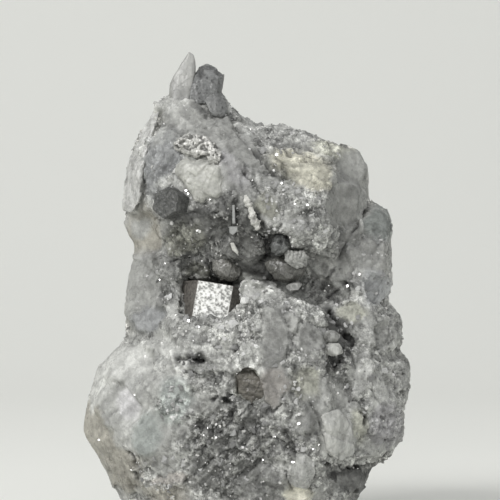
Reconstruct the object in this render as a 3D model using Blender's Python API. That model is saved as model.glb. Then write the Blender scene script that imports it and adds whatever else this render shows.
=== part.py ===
"""Fluorapatite crystal on its quartz-mica matrix, a hand-sized mineral specimen.

A stubby hexagonal fluorapatite prism sits in a small cavity across the middle of a rugged
grey rock.  More crystals grow on the rock: a blade and two stubby crystals on the crown, a
dark prism and a pale plate on the left, glassy grains in the cavity and in the fissure.

Frame: metres, +Z up, front towards -Y, origin at the middle of the flat broken base.
"""
import math

import bmesh
import bpy
from mathutils import Matrix, Vector, noise

# ----------------------------------------------------------------------------------------
# Driving dimensions
# ----------------------------------------------------------------------------------------
MM = 0.001
GRID = 0.15 * MM          # one unit of the front elevation's drawing grid
CENTRE_U = 250.0          # grid column of the elevation's centre line, x = 0
CENTRE_V = 250.0          # grid row of eye level; rows count downwards
BASE_V = 525.0            # grid row of the flat base, z = 0
EYE = 350.0 * MM          # distance of the eye from the plane y = 0
GAP = 0.3 * MM            # clearance between a crystal and the rock it sits in

ROCK_VOXEL = 0.55 * MM    # cell of the voxel remesh that fuses the rock's masses
ROCK_TRIANGLES = 4300     # facets kept on the rock before its sockets are cut
CORNER = 0.35 * MM        # a mass's corners stand out by this, and wear back when fused
SWELL = 0.45 * MM         # height of the rock's coarse unevenness
SWELL_SIZE = 4.2 * MM     # width of one swelling

APATITE_SIDE = 5.2 * MM   # width of one prism face
APATITE_HEIGHT = 6.4 * MM
APATITE_BEVEL = 0.18 * MM


def at(u, v, y):
    """Point seen at grid column u and row v of the elevation, y millimetres behind the
    plane y = 0 (a negative y is in front of it).  The elevation is in central projection."""
    depth = y * MM
    k = (EYE + depth) / EYE
    return Vector(((u - CENTRE_U) * GRID * k,
                   depth,
                   (BASE_V - CENTRE_V) * GRID + (CENTRE_V - v) * GRID * k))


# ----------------------------------------------------------------------------------------
# The rock's masses: each is the convex hull of its corner points (column, row, y in mm)
# ----------------------------------------------------------------------------------------
MASSES = {
    # upper block, left half: leans forward to a blunt nose over the cavity
    "upper_left": [
        (166, 101, 2), (153, 118, 1), (141, 138, 0), (131, 160, 1), (128, 185, 1),
        (125, 203, 1), (130, 227, 2), (139, 247, 3), (171, 98, 3), (214, 99, 3),
        (227, 121, 2), (243, 131, 2), (176, 112, -2.5), (214, 116, -3.5), (168, 150, -7.5),
        (205, 150, -9.5), (238, 158, -10.6), (238, 185, -12.6), (228, 211, -12.9),
        (262, 170, -10.9), (264, 200, -12.6), (180, 210, -10.0), (160, 200, -7.5),
        (160, 232, -5.4), (252, 230, -11.4), (262, 246, -10.0), (240, 256, -8.2),
        (200, 262, -5.6), (178, 262, -4.4), (150, 150, 11), (178, 112, 8), (235, 132, 13),
        (300, 150, 13), (142, 222, 9), (300, 262, 13), (175, 262, 11)],
    # upper block, right half: squared off, with a smooth side face on the right
    "upper_right": [
        (248, 129, 1), (268, 128.5, 0), (290, 130, 0), (307, 134.5, 0), (319, 140.5, 0),
        (336, 144.5, 1), (352, 148, 2), (359, 154, 3), (369, 168, 4), (367.5, 186, 4),
        (367, 204, 4), (362, 240, 5), (262, 150, -7.5), (300, 150, -7), (328, 157, -6.5),
        (258, 185, -12.0), (330, 190, -10.4), (326, 220, -11.6), (300, 233, -13.0),
        (264, 226, -12.8), (318, 250, -9.5), (280, 244, -11.2), (344, 262, -4.5),
        (345, 200, -6.0), (262, 140, 13), (345, 156, 12), (360, 178, 11), (352, 240, 14),
        (270, 262, 14)],
    # crown pedestal under the top crystals
    "crown_foot": [
        (167, 99, 2), (176, 93, 2), (196, 94, 2), (219, 97, 2), (225.5, 106, 2),
        (225, 113, 2), (180, 100, -2.2), (208, 102, -2.6), (221, 116, -2), (170, 120, -1),
        (170, 118, 6), (200, 101, 6), (218, 112, 5), (230, 130, 5), (235, 142, 8),
        (160, 140, 6)],
    # thin ridge that runs down from the crown to the right block
    "crown_ridge": [
        (223, 107, 1.5), (230.5, 121, 1), (240, 130, 1), (252, 130, 1), (227, 119, -3.5),
        (244, 139, -7.5), (236, 150, -9.4), (262, 148, -8), (228, 124, 5), (250, 136, 8),
        (262, 150, 9)],
    # pale rounded lump that stands at the right of the fluorapatite
    "lip_lump": [
        (243, 286, -9.8), (252, 284, -9.8), (262, 288, -10.4), (241, 296, -11.6),
        (246, 290, -12.2), (258, 292, -12.6), (240, 306, -12.6), (252, 308, -13.4),
        (244, 300, -8), (262, 300, -8), (264, 312, -12.6), (246, 316, -12.4)],
    # right shoulder, set back behind the upper block
    "shoulder": [
        (366, 206, 3), (377, 205, 3), (385, 209, 3), (390, 217, 4), (389.5, 240, 4),
        (387.5, 257, 4), (389.5, 277, 4), (387.5, 287, 4), (386, 303, 4), (356, 224, -4),
        (374, 218, -3.2), (381, 240, -4.4), (382, 275, -5.6), (376, 302, -6.8),
        (350, 290, -7.2), (344, 262, -5.5), (366, 212, 10), (380, 226, 11),
        (381, 292, 12), (345, 292, 15), (340, 220, 14)],
    # right flank under the shoulder, with a blunt corner near the top
    "flank_right": [
        (384, 300, 3), (391.5, 311.5, 3), (398, 314.5, 3), (401.5, 323, 3),
        (399, 331, 3), (400, 352, 3), (350, 300, -7.4), (378, 312, -6.2), (389, 320, -5),
        (388, 352, -6.4), (352, 345, -9.6), (372, 312, 12), (392, 328, 10),
        (386, 380, 12), (340, 380, -11), (345, 300, 14)],
    "elbow_right": [
        (400, 352, 2), (405, 357, 2), (413, 371.5, 1), (408.5, 388, 1), (403, 399, 2),
        (403, 429, 2), (399, 435, 2), (393, 441, 2), (391.5, 451, 2), (385.5, 459, 2),
        (375, 463, 1), (368, 352, -9), (394, 366, -6), (402, 376, -4.4), (391, 402, -7.6),
        (387, 430, -8.2), (370, 452, -9.2), (340, 460, -11), (345, 400, -12),
        (385, 360, 12), (400, 384, 8), (392, 430, 9), (376, 456, 9), (350, 462, 13)],
    # rock behind the fissure
    "fissure_wall": [
        (315, 300, -8.2), (362, 300, -6.8), (312, 352, -10.2), (366, 352, -8.2),
        (318, 410, -11.2), (368, 410, -9.6), (330, 455, -10.4), (372, 450, -8.4),
        (300, 300, 6), (372, 300, 6), (300, 455, 6), (372, 455, 6)],
    # set-back foot under the ledge at lower right
    "foot_right": [
        (372, 462, 2), (370, 476, 2), (364, 487, 2), (359, 494, 2), (351, 512, 2),
        (347, 534, 2), (338, 466, -8.6), (362, 468, -5.6), (346, 490, -7.4),
        (334, 512, -7.6), (330, 534, -7), (300, 534, -8), (300, 462, -9), (362, 480, 9),
        (350, 534, 8), (300, 534, 12), (320, 462, 13)],
    # bulging lower front, its top edge is the lip of the cavity
    "lower_front": [
        (246, 287, -10.6), (262, 284, -11.2), (284, 291, -11.8), (306, 306, -12.2),
        (322, 322, -11.6), (240, 302, -12.8), (226, 322, -12.2), (262, 340, -15.4),
        (292, 342, -15.2), (322, 372, -13.8), (286, 404, -16.0), (250, 398, -14.8),
        (212, 372, -13.4), (330, 410, -13.6), (330, 452, -13.0), (300, 474, -13.2),
        (244, 470, -11.6), (214, 440, -11.6), (244, 500, -10.2), (290, 534, -9.0),
        (240, 534, -8.8), (240, 292, -4), (330, 306, -5), (215, 330, 4), (345, 330, 6),
        (345, 500, 8), (200, 534, 6), (200, 420, 8)],
    # lower centre left, between the dome and the front bulge
    "lower_middle": [
        (168, 322, -8.2), (200, 322, -10.2), (232, 322, -12.0), (226, 372, -13.0),
        (192, 372, -12.4), (190, 420, -11.8), (226, 440, -11.4), (216, 500, -9.8),
        (170, 500, -8.6), (180, 534, -8), (250, 534, -8.4), (160, 340, 8),
        (240, 320, 8), (240, 534, 10), (165, 534, 6)],
    # smooth quartz dome at lower left
    "dome": [
        (131, 334, 1), (116, 349, 1), (105, 360, 1), (98, 367, 1), (94, 382, 1),
        (87.5, 405, 1), (84.5, 425, 1), (85, 432.5, 1), (93, 441, 1), (104, 456.5, 1),
        (112.5, 470.5, 1), (121.5, 485, 1), (126, 493, 1), (142, 534, 1),
        (150, 346, -7.6), (186, 342, -9.8), (118, 372, -5.4), (140, 372, -9.0),
        (106, 402, -4.2), (126, 404, -8.6), (158, 388, -11.6), (188, 382, -12.4),
        (124, 436, -8.0), (154, 436, -10.8), (186, 430, -12.0), (104, 438, -3.6),
        (136, 468, -6.6), (176, 476, -9.8), (152, 500, -7.4), (160, 534, -6.4),
        (118, 366, 7), (100, 404, 6), (104, 438, 6), (126, 480, 6), (150, 534, 6),
        (150, 345, 11), (210, 400, 11)],
    # smooth slab on the left flank, set back beside the cavity
    "slab_left": [
        (139, 250, 2), (134.5, 265, 2), (132, 278, 2), (130.5, 292, 2), (127.5, 314, 2),
        (127.5, 329, 2), (131, 340, 2), (158, 256, -4.4), (148, 290, -4.4),
        (146, 328, -5.2), (172, 262, -6.2), (176, 300, -7.6), (180, 336, -9.2),
        (148, 258, 10), (142, 324, 10), (190, 340, 12), (190, 256, 12)],
    # rock behind the cavity that ties the two halves together
    "waist": [
        (176, 246, -4.0), (200, 250, -4.0), (330, 250, -5.0), (356, 262, -3.6),
        (176, 300, -6.6), (200, 330, -6.4), (250, 300, -3.4), (345, 300, -6.0),
        (356, 340, -6.0), (180, 340, -6.0), (150, 240, 10), (150, 350, 11),
        (375, 240, 11), (380, 350, 12), (250, 240, 15), (260, 350, 16)],
    # back of the rock: three blunt masses with a saddle between them
    "back_upper": [
        (160, 150, 8), (240, 134, 10), (340, 156, 10), (362, 200, 10), (150, 230, 8),
        (180, 170, 14.5), (260, 155, 16), (330, 190, 15), (200, 240, 15.6),
        (310, 250, 17), (360, 270, 12)],
    "back_lower": [
        (120, 380, 5), (110, 430, 5), (150, 350, 10), (200, 330, 15), (160, 400, 13.5),
        (220, 380, 17.2), (310, 350, 17.6), (380, 350, 12), (398, 390, 8),
        (385, 440, 9), (340, 400, 16.4), (300, 450, 16.2), (180, 460, 13),
        (150, 500, 8), (340, 480, 12), (240, 500, 14.5)],
    "back_foot": [
        (142, 500, 4), (146, 534, 4), (350, 500, 6), (346, 534, 6), (170, 470, 12),
        (330, 470, 13), (190, 534, 11), (310, 534, 11.5)],
}

# Hollows cut out of the fused masses, each again a convex hull
HOLLOWS = {
    # pocket that the fluorapatite prism stands in
    "crystal_pocket": [
        (180, 283, -8.5), (184, 272, -9.5), (200, 262, -11), (240, 266, -14),
        (243, 285, -14), (242, 303, -14), (230, 314.5, -15), (190, 315, -14),
        (180, 308, -12), (184, 284, -2.6), (208, 264, -1.6), (244, 268, -2),
        (244, 304, -2.6), (190, 310, -2.6)],
    # slot under the overhang, from the pocket to the right
    "cavity_slot": [
        (232, 262, -14), (258, 274, -14), (300, 284, -14), (330, 300, -14),
        (240, 284, -14), (280, 288, -14), (312, 304, -14), (205, 264, -2),
        (300, 262, -4.4), (334, 284, -4.6), (236, 286, -3.4), (318, 304, -5.5)],
    # dark recess right of the grains
    "cavity_end": [
        (318, 286, -12), (346, 292, -10), (352, 300, -10), (330, 310, -13),
        (302, 296, -13), (304, 306, -14), (330, 290, -4.4), (346, 300, -4.8),
        (312, 302, -6)],
    # slot between the nose and the middle grain
    "nose_slot": [
        (262, 232, -16), (282, 230, -16), (294, 240, -15), (292, 254, -15),
        (270, 252, -15), (264, 236, -8.4), (288, 236, -8), (286, 252, -7.4)],
    # fissure down the right of the front
    "fissure_top": [
        (325, 309, -16), (338, 309, -14), (340, 326, -14), (327, 328, -16),
        (328, 311, -9), (337, 312, -8.4), (335, 326, -9)],
    "fissure_middle": [
        (337, 329, -16), (357, 332, -12), (354, 347, -13), (341, 349, -16),
        (341, 333, -8.4), (351, 335, -7.8), (347, 345, -8.2)],
    "fissure_low": [
        (324, 354, -18), (345, 354, -15), (341, 368, -16), (332, 368, -18),
        (329, 357, -10.6), (340, 357, -9.8), (335, 365, -10.4)],
    "fissure_crack": [
        (345.5, 384, -16), (351.5, 384, -16), (352, 402, -16), (347, 402, -16),
        (348, 387, -9.6), (350.5, 400, -9.8)],
    # notch in the front, left of the bulge
    "front_notch": [
        (178, 354, -18), (205, 356, -18), (216, 366, -18), (196, 370, -18),
        (184, 364, -18), (190, 360, -9.8), (208, 363, -10.4)],
    "front_pit": [
        (220, 393, -19), (238, 393, -19), (240, 404, -19), (224, 407, -19),
        (229, 399, -11.4)],
    "brown_recess": [
        (240, 372, -19), (262, 374, -19), (262, 400, -19), (243, 400, -19),
        (244, 376, -12.8), (259, 378, -13.4), (258, 397, -13.0), (246, 396, -12.6)],
    # undercut below the ledge at lower right
    "ledge_undercut": [
        (318, 470, -18), (372, 462, -14), (384, 464, -12), (376, 474, -12),
        (350, 478, -16), (326, 476, -18), (326, 471, -9.4), (366, 468, -6.4),
        (348, 476, -8)],
    # cleft behind the left edge of the upper block
    "side_cleft": [
        (128, 236, -8), (140, 252, -8), (150, 262, -8), (136, 258, -8),
        (134, 240, 0.5), (146, 256, 0), (140, 258, 1)],
}


# ----------------------------------------------------------------------------------------
# Modelling helpers
# ----------------------------------------------------------------------------------------
def clear_scene():
    for old in list(bpy.data.objects):
        bpy.data.objects.remove(old, do_unlink=True)


def material(name, colour, roughness, metallic=0.0):
    mat = bpy.data.materials.new(name)
    mat.use_nodes = True
    shader = mat.node_tree.nodes["Principled BSDF"]
    shader.inputs["Base Color"].default_value = (*colour, 1.0)
    shader.inputs["Roughness"].default_value = roughness
    shader.inputs["Metallic"].default_value = metallic
    mat.diffuse_color = (*colour, 1.0)
    return mat


def add_object(name, mesh, mat=None):
    obj = bpy.data.objects.new(name, mesh)
    bpy.context.scene.collection.objects.link(obj)
    if mat is not None:
        mesh.materials.clear()
        mesh.materials.append(mat)
    return obj


def hull_mesh(name, points):
    """Closed convex mesh around the points."""
    bm = bmesh.new()
    for p in points:
        bm.verts.new(p)
    result = bmesh.ops.convex_hull(bm, input=bm.verts[:], use_existing_faces=False)
    loose = [g for g in result["geom_interior"] if isinstance(g, bmesh.types.BMVert)]
    loose += [g for g in result["geom_unused"] if isinstance(g, bmesh.types.BMVert)]
    loose = list({v for v in loose if v.is_valid and not v.link_faces})
    if loose:
        bmesh.ops.delete(bm, geom=loose, context="VERTS")
    bmesh.ops.recalc_face_normals(bm, faces=bm.faces[:])
    mesh = bpy.data.meshes.new(name)
    bm.to_mesh(mesh)
    bm.free()
    return mesh


def evaluated(obj, name):
    """A new mesh with the object's modifiers applied, in world space."""
    bpy.context.view_layer.update()
    graph = bpy.context.evaluated_depsgraph_get()
    mesh = bpy.data.meshes.new_from_object(obj.evaluated_get(graph))
    mesh.name = name
    mesh.transform(obj.matrix_world)
    return mesh


def keep_largest_island(mesh):
    """Drop the crumbs that a cut leaves behind."""
    bm = bmesh.new()
    bm.from_mesh(mesh)
    seen, islands = set(), []
    for seed in bm.verts:
        if seed in seen:
            continue
        stack, island = [seed], []
        seen.add(seed)
        while stack:
            vert = stack.pop()
            island.append(vert)
            for edge in vert.link_edges:
                other = edge.other_vert(vert)
                if other not in seen:
                    seen.add(other)
                    stack.append(other)
        islands.append(island)
    islands.sort(key=len)
    for island in islands[:-1]:
        bmesh.ops.delete(bm, geom=island, context="VERTS")
    bm.to_mesh(mesh)
    bm.free()


def boolean(obj, cutter, operation="DIFFERENCE"):
    mod = obj.modifiers.new("cut", "BOOLEAN")
    mod.operation = operation
    mod.solver = "EXACT"
    mod.object = cutter
    cutter.hide_render = True
    cutter.display_type = "WIRE"


def swelling(p):
    """Coarse unevenness of broken rock, in metres, at the point p."""
    q = p / SWELL_SIZE
    a = noise.noise(q, noise_basis="PERLIN_ORIGINAL")
    b = noise.cell(q * 1.7 + Vector((3.1, 7.7, 1.3))) - 0.5
    c = noise.noise(q * 2.3 + Vector((11.0, 5.0, 2.0)), noise_basis="PERLIN_ORIGINAL")
    return SWELL * (0.9 * a + 0.15 * b + 0.45 * c)


# ----------------------------------------------------------------------------------------
# Crystals: each function returns a closed convex mesh in world space
# ----------------------------------------------------------------------------------------
def turned(axis_up, face_towards):
    """Rotation whose local Z is axis_up and whose local -Y looks as nearly as it can
    along face_towards."""
    z = Vector(axis_up).normalized()
    y = -(Vector(face_towards) - Vector(face_towards).dot(z) * z).normalized()
    x = y.cross(z)
    return Matrix((x, y, z)).transposed().to_4x4()


def prism_mesh(name, sides, radius, length, placed, top_radius=1.0, cone=0.0, bevel=0.0,
               stretch=(1.0, 1.0)):
    """Prism along local Z from z = 0 to z = length, a flat side towards local -Y.
    top_radius scales the upper end, cone adds a low pyramid of that height."""
    bm = bmesh.new()
    rings = [(0.0, 1.0), (length, top_radius)]
    if cone > 0.0:
        rings.append((length + cone, top_radius * 0.22))
    levels = []
    for height, scale in rings:
        ring = []
        for i in range(sides):
            angle = 2.0 * math.pi * (i + 0.5) / sides - math.pi / 2.0
            ring.append(bm.verts.new((radius * scale * stretch[0] * math.cos(angle),
                                      radius * scale * stretch[1] * math.sin(angle),
                                      height)))
        levels.append(ring)
    for low, high in zip(levels, levels[1:]):
        for i in range(sides):
            j = (i + 1) % sides
            bm.faces.new((low[i], low[j], high[j], high[i]))
    bm.faces.new(list(reversed(levels[0])))
    bm.faces.new(levels[-1])
    if bevel > 0.0:
        bmesh.ops.bevel(bm, geom=bm.edges[:], offset=bevel, segments=1,
                        affect="EDGES", profile=0.5, clamp_overlap=True)
    bmesh.ops.recalc_face_normals(bm, faces=bm.faces[:])
    mesh = bpy.data.meshes.new(name)
    bm.to_mesh(mesh)
    bm.free()
    mesh.transform(placed)
    return mesh


def grain_mesh(name, centre, radii, turn=(0.0, 0.0, 0.0), facets=26, seed=0):
    """Rounded many-faced grain: the hull of points spread evenly over an ellipsoid and
    nudged a little in and out."""
    spin = Matrix.Rotation(turn[2], 4, "Z") @ Matrix.Rotation(turn[1], 4, "Y") \
        @ Matrix.Rotation(turn[0], 4, "X")
    golden = math.pi * (3.0 - math.sqrt(5.0))
    points = []
    for i in range(facets):
        h = 1.0 - 2.0 * (i + 0.5) / facets
        ring = math.sqrt(1.0 - h * h)
        a = golden * i + 0.7 * seed
        unit = Vector((ring * math.cos(a), ring * math.sin(a), h))
        push = 1.0 + 0.09 * noise.noise(unit * 2.0 + Vector((seed * 3.7, seed, -seed)))
        point = Vector((unit.x * radii[0], unit.y * radii[1], unit.z * radii[2])) * push
        points.append(centre + (spin @ point) * 1.0)
    return hull_mesh(name, points)


def slab_mesh(name, outline, front, back):
    """Flat crystal: an outline of (column, row) drawn at two depths, in millimetres.
    Each outline point may carry its own pair of depths instead."""
    points = []
    for item in outline:
        u, v = item[0], item[1]
        f, b = (item[2], item[3]) if len(item) == 4 else (front, back)
        points.append(at(u, v, f))
        points.append(at(u, v, b))
    return hull_mesh(name, points)


def swollen(mesh, name, amount):
    """The same closed convex mesh grown outwards by the given distance."""
    bm = bmesh.new()
    bm.from_mesh(mesh)
    planes = []
    for face in bm.faces:
        planes.append((face.normal.copy(), face.calc_center_median().copy()))
    points = []
    for vert in bm.verts:
        normals = []
        for face in vert.link_faces:
            if all(face.normal.dot(n) < 0.995 for n in normals):
                normals.append(face.normal.copy())
        push = Vector((0.0, 0.0, 0.0))
        for n in normals:
            push += n
        push.normalize()
        reach = max(0.35, min(push.dot(n) for n in normals))
        points.append(vert.co + push * (amount / reach))
    bm.free()
    return hull_mesh(name, points)


# ----------------------------------------------------------------------------------------
# Build
# ----------------------------------------------------------------------------------------
clear_scene()

ROCK = material("matrix", (0.30, 0.30, 0.285), 0.72)
APATITE = material("apatite", (0.62, 0.62, 0.58), 0.16)
DARK = material("dark_crystal", (0.11, 0.115, 0.115), 0.32)
GREY = material("grey_crystal", (0.30, 0.31, 0.31), 0.30)
PALE = material("pale_quartz", (0.62, 0.62, 0.58), 0.42)
GLASSY = material("glassy_quartz", (0.36, 0.365, 0.355), 0.18)
SILVER = material("silvery_sulphide", (0.60, 0.59, 0.55), 0.28, 0.85)
BROWN = material("brown_quartz", (0.20, 0.18, 0.155), 0.35)

crystals = []


def crystal(name, mesh, mat):
    crystals.append(add_object(name, mesh, mat))


# The fluorapatite: hexagonal prism, leaning a little to the right, its broad front prism
# face turned to the front and slightly upwards, its foot sunk in the pocket's floor.
apatite_up = Vector((math.sin(math.radians(9.5)), 0.13, math.cos(math.radians(9.5))))
apatite_front = Vector((-0.04, -1.0, 0.0))
apatite_turn = turned(apatite_up, apatite_front)
apatite_face = at(210.6, 313.0, -9.3)
apatite_in = (apatite_turn @ Vector((0, 1, 0))) * (APATITE_SIDE * math.sqrt(3) / 2)
apatite_down = apatite_up.normalized() * (-1.9 * MM)
crystal("fluorapatite_crystal",
        prism_mesh("fluorapatite_crystal", 6, APATITE_SIDE, APATITE_HEIGHT,
                   Matrix.Translation(apatite_face + apatite_in + apatite_down)
                   @ apatite_turn, bevel=APATITE_BEVEL),
        APATITE)

# Dark stubby prism that sticks out of the left of the upper block
side_out = Vector((-0.58, -0.80, 0.10))
side_turn = turned(side_out, (0.3, -0.3, -0.9))
crystal("side_prism_crystal",
        prism_mesh("side_prism_crystal", 6, 2.05 * MM, 5.6 * MM,
                   Matrix.Translation(at(164, 202.5, -10.9)
                                      - side_out.normalized() * 5.6 * MM)
                   @ side_turn, bevel=0.14 * MM, stretch=(1.0, 0.86)),
        DARK)

# Crown: a pale tapered blade, a dark stub beside it and a grey rounded crystal at its foot
crystal("crown_blade_crystal",
        slab_mesh("crown_blade_crystal",
                  [(189, 51.5, 0.2, 0.9), (194.2, 55.5, 0.1, 1.0), (195.4, 63, -0.2, 1.2),
                   (192, 98, -1.9, 2.4), (174, 98, -1.7, 2.2), (170.2, 87, -0.8, 2.0),
                   (171.6, 79, -0.6, 1.8), (177.5, 71, -0.5, 1.6), (184.6, 61, -0.1, 1.2),
                   (186.4, 54.5, 0.2, 0.9)], -1.0, 1.8),
        PALE)
crystal("crown_stub_crystal",
        slab_mesh("crown_stub_crystal",
                  [(198.2, 69, -0.4, 3.2), (202.5, 64.6, 0.4, 3.4), (213.5, 65.6, 0.2, 3.6),
                   (223.6, 74.2, -0.6, 3.2), (222.4, 85, -1.6, 3.4),
                   (219.0, 96, -1.8, 3.4), (216, 104, -1.6, 3.2), (197.5, 104, -2.2, 3.2),
                   (196.2, 84, -2.0, 3.2), (208, 78, -2.6, 3.6)], -1.0, 2.8),
        DARK)
crystal("crown_foot_crystal",
        grain_mesh("crown_foot_crystal", at(216.5, 106.5, -3.4),
                   (1.75 * MM, 1.25 * MM, 1.65 * MM), (0.2, 0.5, 0.1), 26, 3),
        GREY)

# Left rim: long translucent plate along the edge of the upper block
crystal("rim_plate_crystal",
        slab_mesh("rim_plate_crystal",
                  [(157.5, 105, -0.6, 0.6), (162, 106, -1.4, 0.4), (150.5, 117.5, -0.6, 0.6),
                   (158, 122, -2.6, 0.0), (138.5, 138.5, -0.8, 0.5),
                   (150, 148, -4.6, -1.8), (129, 160.5, -0.8, 0.5),
                   (143, 170, -5.0, -2.4), (126.8, 185, -1.0, 0.4),
                   (122.6, 200, -1.0, 0.4), (123.2, 210, -1.0, 0.2),
                   (134, 213, -3.4, -1.4), (141.5, 205, -4.8, -2.6)], -1, 1),
        PALE)

# Quartz knob on the nose, with the silvery cluster over its upper half
crystal("quartz_knob",
        grain_mesh("quartz_knob", at(203.5, 183, -10.9),
                   (3.1 * MM, 2.1 * MM, 3.1 * MM), (0.05, 0.1, 0.0), 44, 1),
        PALE)
crystal("silvery_cluster",
        grain_mesh("silvery_cluster", at(198.0, 148.0, -9.2),
                   (3.1 * MM, 1.45 * MM, 1.9 * MM), (0.30, 0.25, -0.12), 40, 5),
        SILVER)

# Veins and blades on the face of the nose
crystal("vein_blade_crystal",
        slab_mesh("vein_blade_crystal",
                  [(244.8, 195, -13.4, -11.8), (248, 194.5, -13.4, -11.8),
                   (257.5, 221, -13.8, -11.9), (256, 229, -13.4, -11.9),
                   (252.5, 228, -13.4, -11.9)], -13, -12),
        PALE)
crystal("upright_blade_crystal",
        slab_mesh("upright_blade_crystal",
                  [(232.2, 205, -13.1, -11.9), (234.8, 205, -13.1, -11.9),
                   (235.2, 223.6, -13.4, -11.9), (232.4, 223.6, -13.4, -11.9)], -13, -12),
        PALE)
crystal("tablet_crystal",
        slab_mesh("tablet_crystal",
                  [(229.2, 226.6, -12.9, -11.2), (237.4, 226.2, -12.9, -11.2),
                   (237.6, 230.8, -12.9, -11.2), (233, 235, -12.8, -11.2),
                   (229.6, 232.8, -12.8, -11.2)], -13, -11.4),
        PALE)
crystal("small_blade_crystal",
        slab_mesh("small_blade_crystal",
                  [(230.4, 243, -11.9, -10.2), (233.6, 242.8, -11.9, -10.2),
                   (238.6, 252, -11.3, -9.6), (237.4, 254.4, -11.2, -9.4),
                   (232.2, 250, -11.4, -9.6)], -12, -10.4),
        PALE)

# Glassy grains in the cavity
crystal("cavity_grain_left",
        grain_mesh("cavity_grain_left", at(228, 268.5, -6.4),
                   (2.0 * MM, 1.9 * MM, 1.85 * MM), (0.1, 0.4, 0.2), 34, 2),
        GLASSY)
crystal("cavity_grain_middle",
        grain_mesh("cavity_grain_middle", at(279.5, 244.5, -10.6),
                   (1.35 * MM, 1.5 * MM, 1.45 * MM), (0.3, 0.1, 0.0), 28, 7),
        DARK)
crystal("cavity_grain_right",
        grain_mesh("cavity_grain_right", at(286.5, 267.5, -8.6),
                   (2.75 * MM, 2.3 * MM, 1.95 * MM), (0.0, 0.22, 0.1), 40, 4),
        GLASSY)
crystal("cavity_cap_crystal",
        slab_mesh("cavity_cap_crystal",
                  [(292, 252.5, -12.9, -11.3), (303, 252, -12.9, -11.2),
                   (307.5, 257, -12.6, -10.8), (305, 264, -12.5, -11.3),
                   (298, 266, -12.5, -11.4), (290, 262, -12.7, -11.5)], -12.6, -11),
        PALE)
crystal("cavity_lens_crystal",
        slab_mesh("cavity_lens_crystal",
                  [(285.5, 287, -10.6, -8.4), (290, 284, -10.5, -8.4),
                   (298, 283, -10.5, -8.2), (302, 285, -10.4, -8.2),
                   (297, 289.5, -11.3, -8.8), (289, 290, -11.2, -8.8)], -11, -8.6),
        GLASSY)

# Pale grains that bridge the fissure
crystal("fissure_grain_upper",
        grain_mesh("fissure_grain_upper", at(331.5, 336.5, -11.6),
                   (1.15 * MM, 1.3 * MM, 0.92 * MM), (0.0, 0.2, 0.0), 24, 8),
        PALE)
crystal("fissure_grain_lower",
        grain_mesh("fissure_grain_lower", at(333.5, 349.2, -12.0),
                   (1.25 * MM, 1.35 * MM, 0.78 * MM), (0.0, 0.15, 0.0), 24, 9),
        PALE)

# Brown translucent tablet in the recess of the front bulge
crystal("brown_tablet_crystal",
        slab_mesh("brown_tablet_crystal",
                  [(243.5, 375, -14.2, -12.0), (259.5, 376.5, -14.8, -12.2),
                   (260.5, 390, -14.6, -12.2), (252, 396.5, -14.0, -12.2),
                   (244, 392, -13.8, -12.0)], -14, -12),
        BROWN)

# Clear slab and pale wedge low on the right of the front
crystal("clear_slab_crystal",
        slab_mesh("clear_slab_crystal",
                  [(321, 416, -14.6, -12.2), (340, 410, -13.8, -11.4),
                   (351, 424, -13.0, -10.6), (354, 452, -12.2, -10.4),
                   (341, 462, -12.9, -10.8), (328, 452, -14.2, -12.0),
                   (331, 430, -15.0, -12.4)], -14, -12),
        GLASSY)
crystal("wedge_crystal",
        slab_mesh("wedge_crystal",
                  [(300, 453, -14.2, -12.2), (306.5, 452.5, -14.0, -12.2),
                   (315.5, 471, -13.4, -11.0), (306, 486, -13.8, -10.6),
                   (293, 487, -13.6, -10.2), (287.5, 474, -13.2, -11.0)], -14, -12),
        PALE)

# The rock: fuse its masses, make it uneven, thin its facets out, then cut its hollows, the
# sockets of its crystals and its flat base.
bm = bmesh.new()
for mass, corners in MASSES.items():
    points = [at(*corner) for corner in corners]
    middle = sum(points, Vector()) / len(points)
    points = [p + (p - middle).normalized() * CORNER for p in points]
    part = hull_mesh(mass, points)
    bm.from_mesh(part)
    bpy.data.meshes.remove(part)
mesh = bpy.data.meshes.new("rock_masses")
bm.to_mesh(mesh)
bm.free()
rock = add_object("rock_masses", mesh)
fuse = rock.modifiers.new("fuse", "REMESH")
fuse.mode = "VOXEL"
fuse.voxel_size = ROCK_VOXEL
fuse.adaptivity = 0.0
fused = evaluated(rock, "rock_fused")
bpy.data.objects.remove(rock, do_unlink=True)

rock = add_object("rock_fused", fused)
for hollow, corners in HOLLOWS.items():
    cutter = add_object("cut_" + hollow, hull_mesh(hollow, [at(*c) for c in corners]))
    boolean(rock, cutter)
carved = evaluated(rock, "rock_carved")
for obj in [o for o in bpy.data.objects if o.name.startswith("cut_")] + [rock]:
    bpy.data.objects.remove(obj, do_unlink=True)

rock = add_object("rock_carved", carved)
again = rock.modifiers.new("fuse", "REMESH")
again.mode = "VOXEL"
again.voxel_size = ROCK_VOXEL
again.adaptivity = 0.0
smooth = rock.modifiers.new("soften", "SMOOTH")
smooth.factor = 0.5
smooth.iterations = 1
softened = evaluated(rock, "rock_soft")
bpy.data.objects.remove(rock, do_unlink=True)
keep_largest_island(softened)

bm = bmesh.new()
bm.from_mesh(softened)
bm.normal_update()
moved = [(vert, vert.normal * swelling(vert.co)) for vert in bm.verts]
for vert, shift in moved:
    vert.co += shift
bmesh.ops.triangulate(bm, faces=bm.faces[:])
count = len(bm.faces)
bm.to_mesh(softened)
bm.free()

rock = add_object("rock_soft", softened)
thin = rock.modifiers.new("thin", "DECIMATE")
thin.decimate_type = "COLLAPSE"
thin.ratio = ROCK_TRIANGLES / count
thin.use_collapse_triangulate = True
thinned = evaluated(rock, "rock_thinned")
bpy.data.objects.remove(rock, do_unlink=True)

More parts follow.
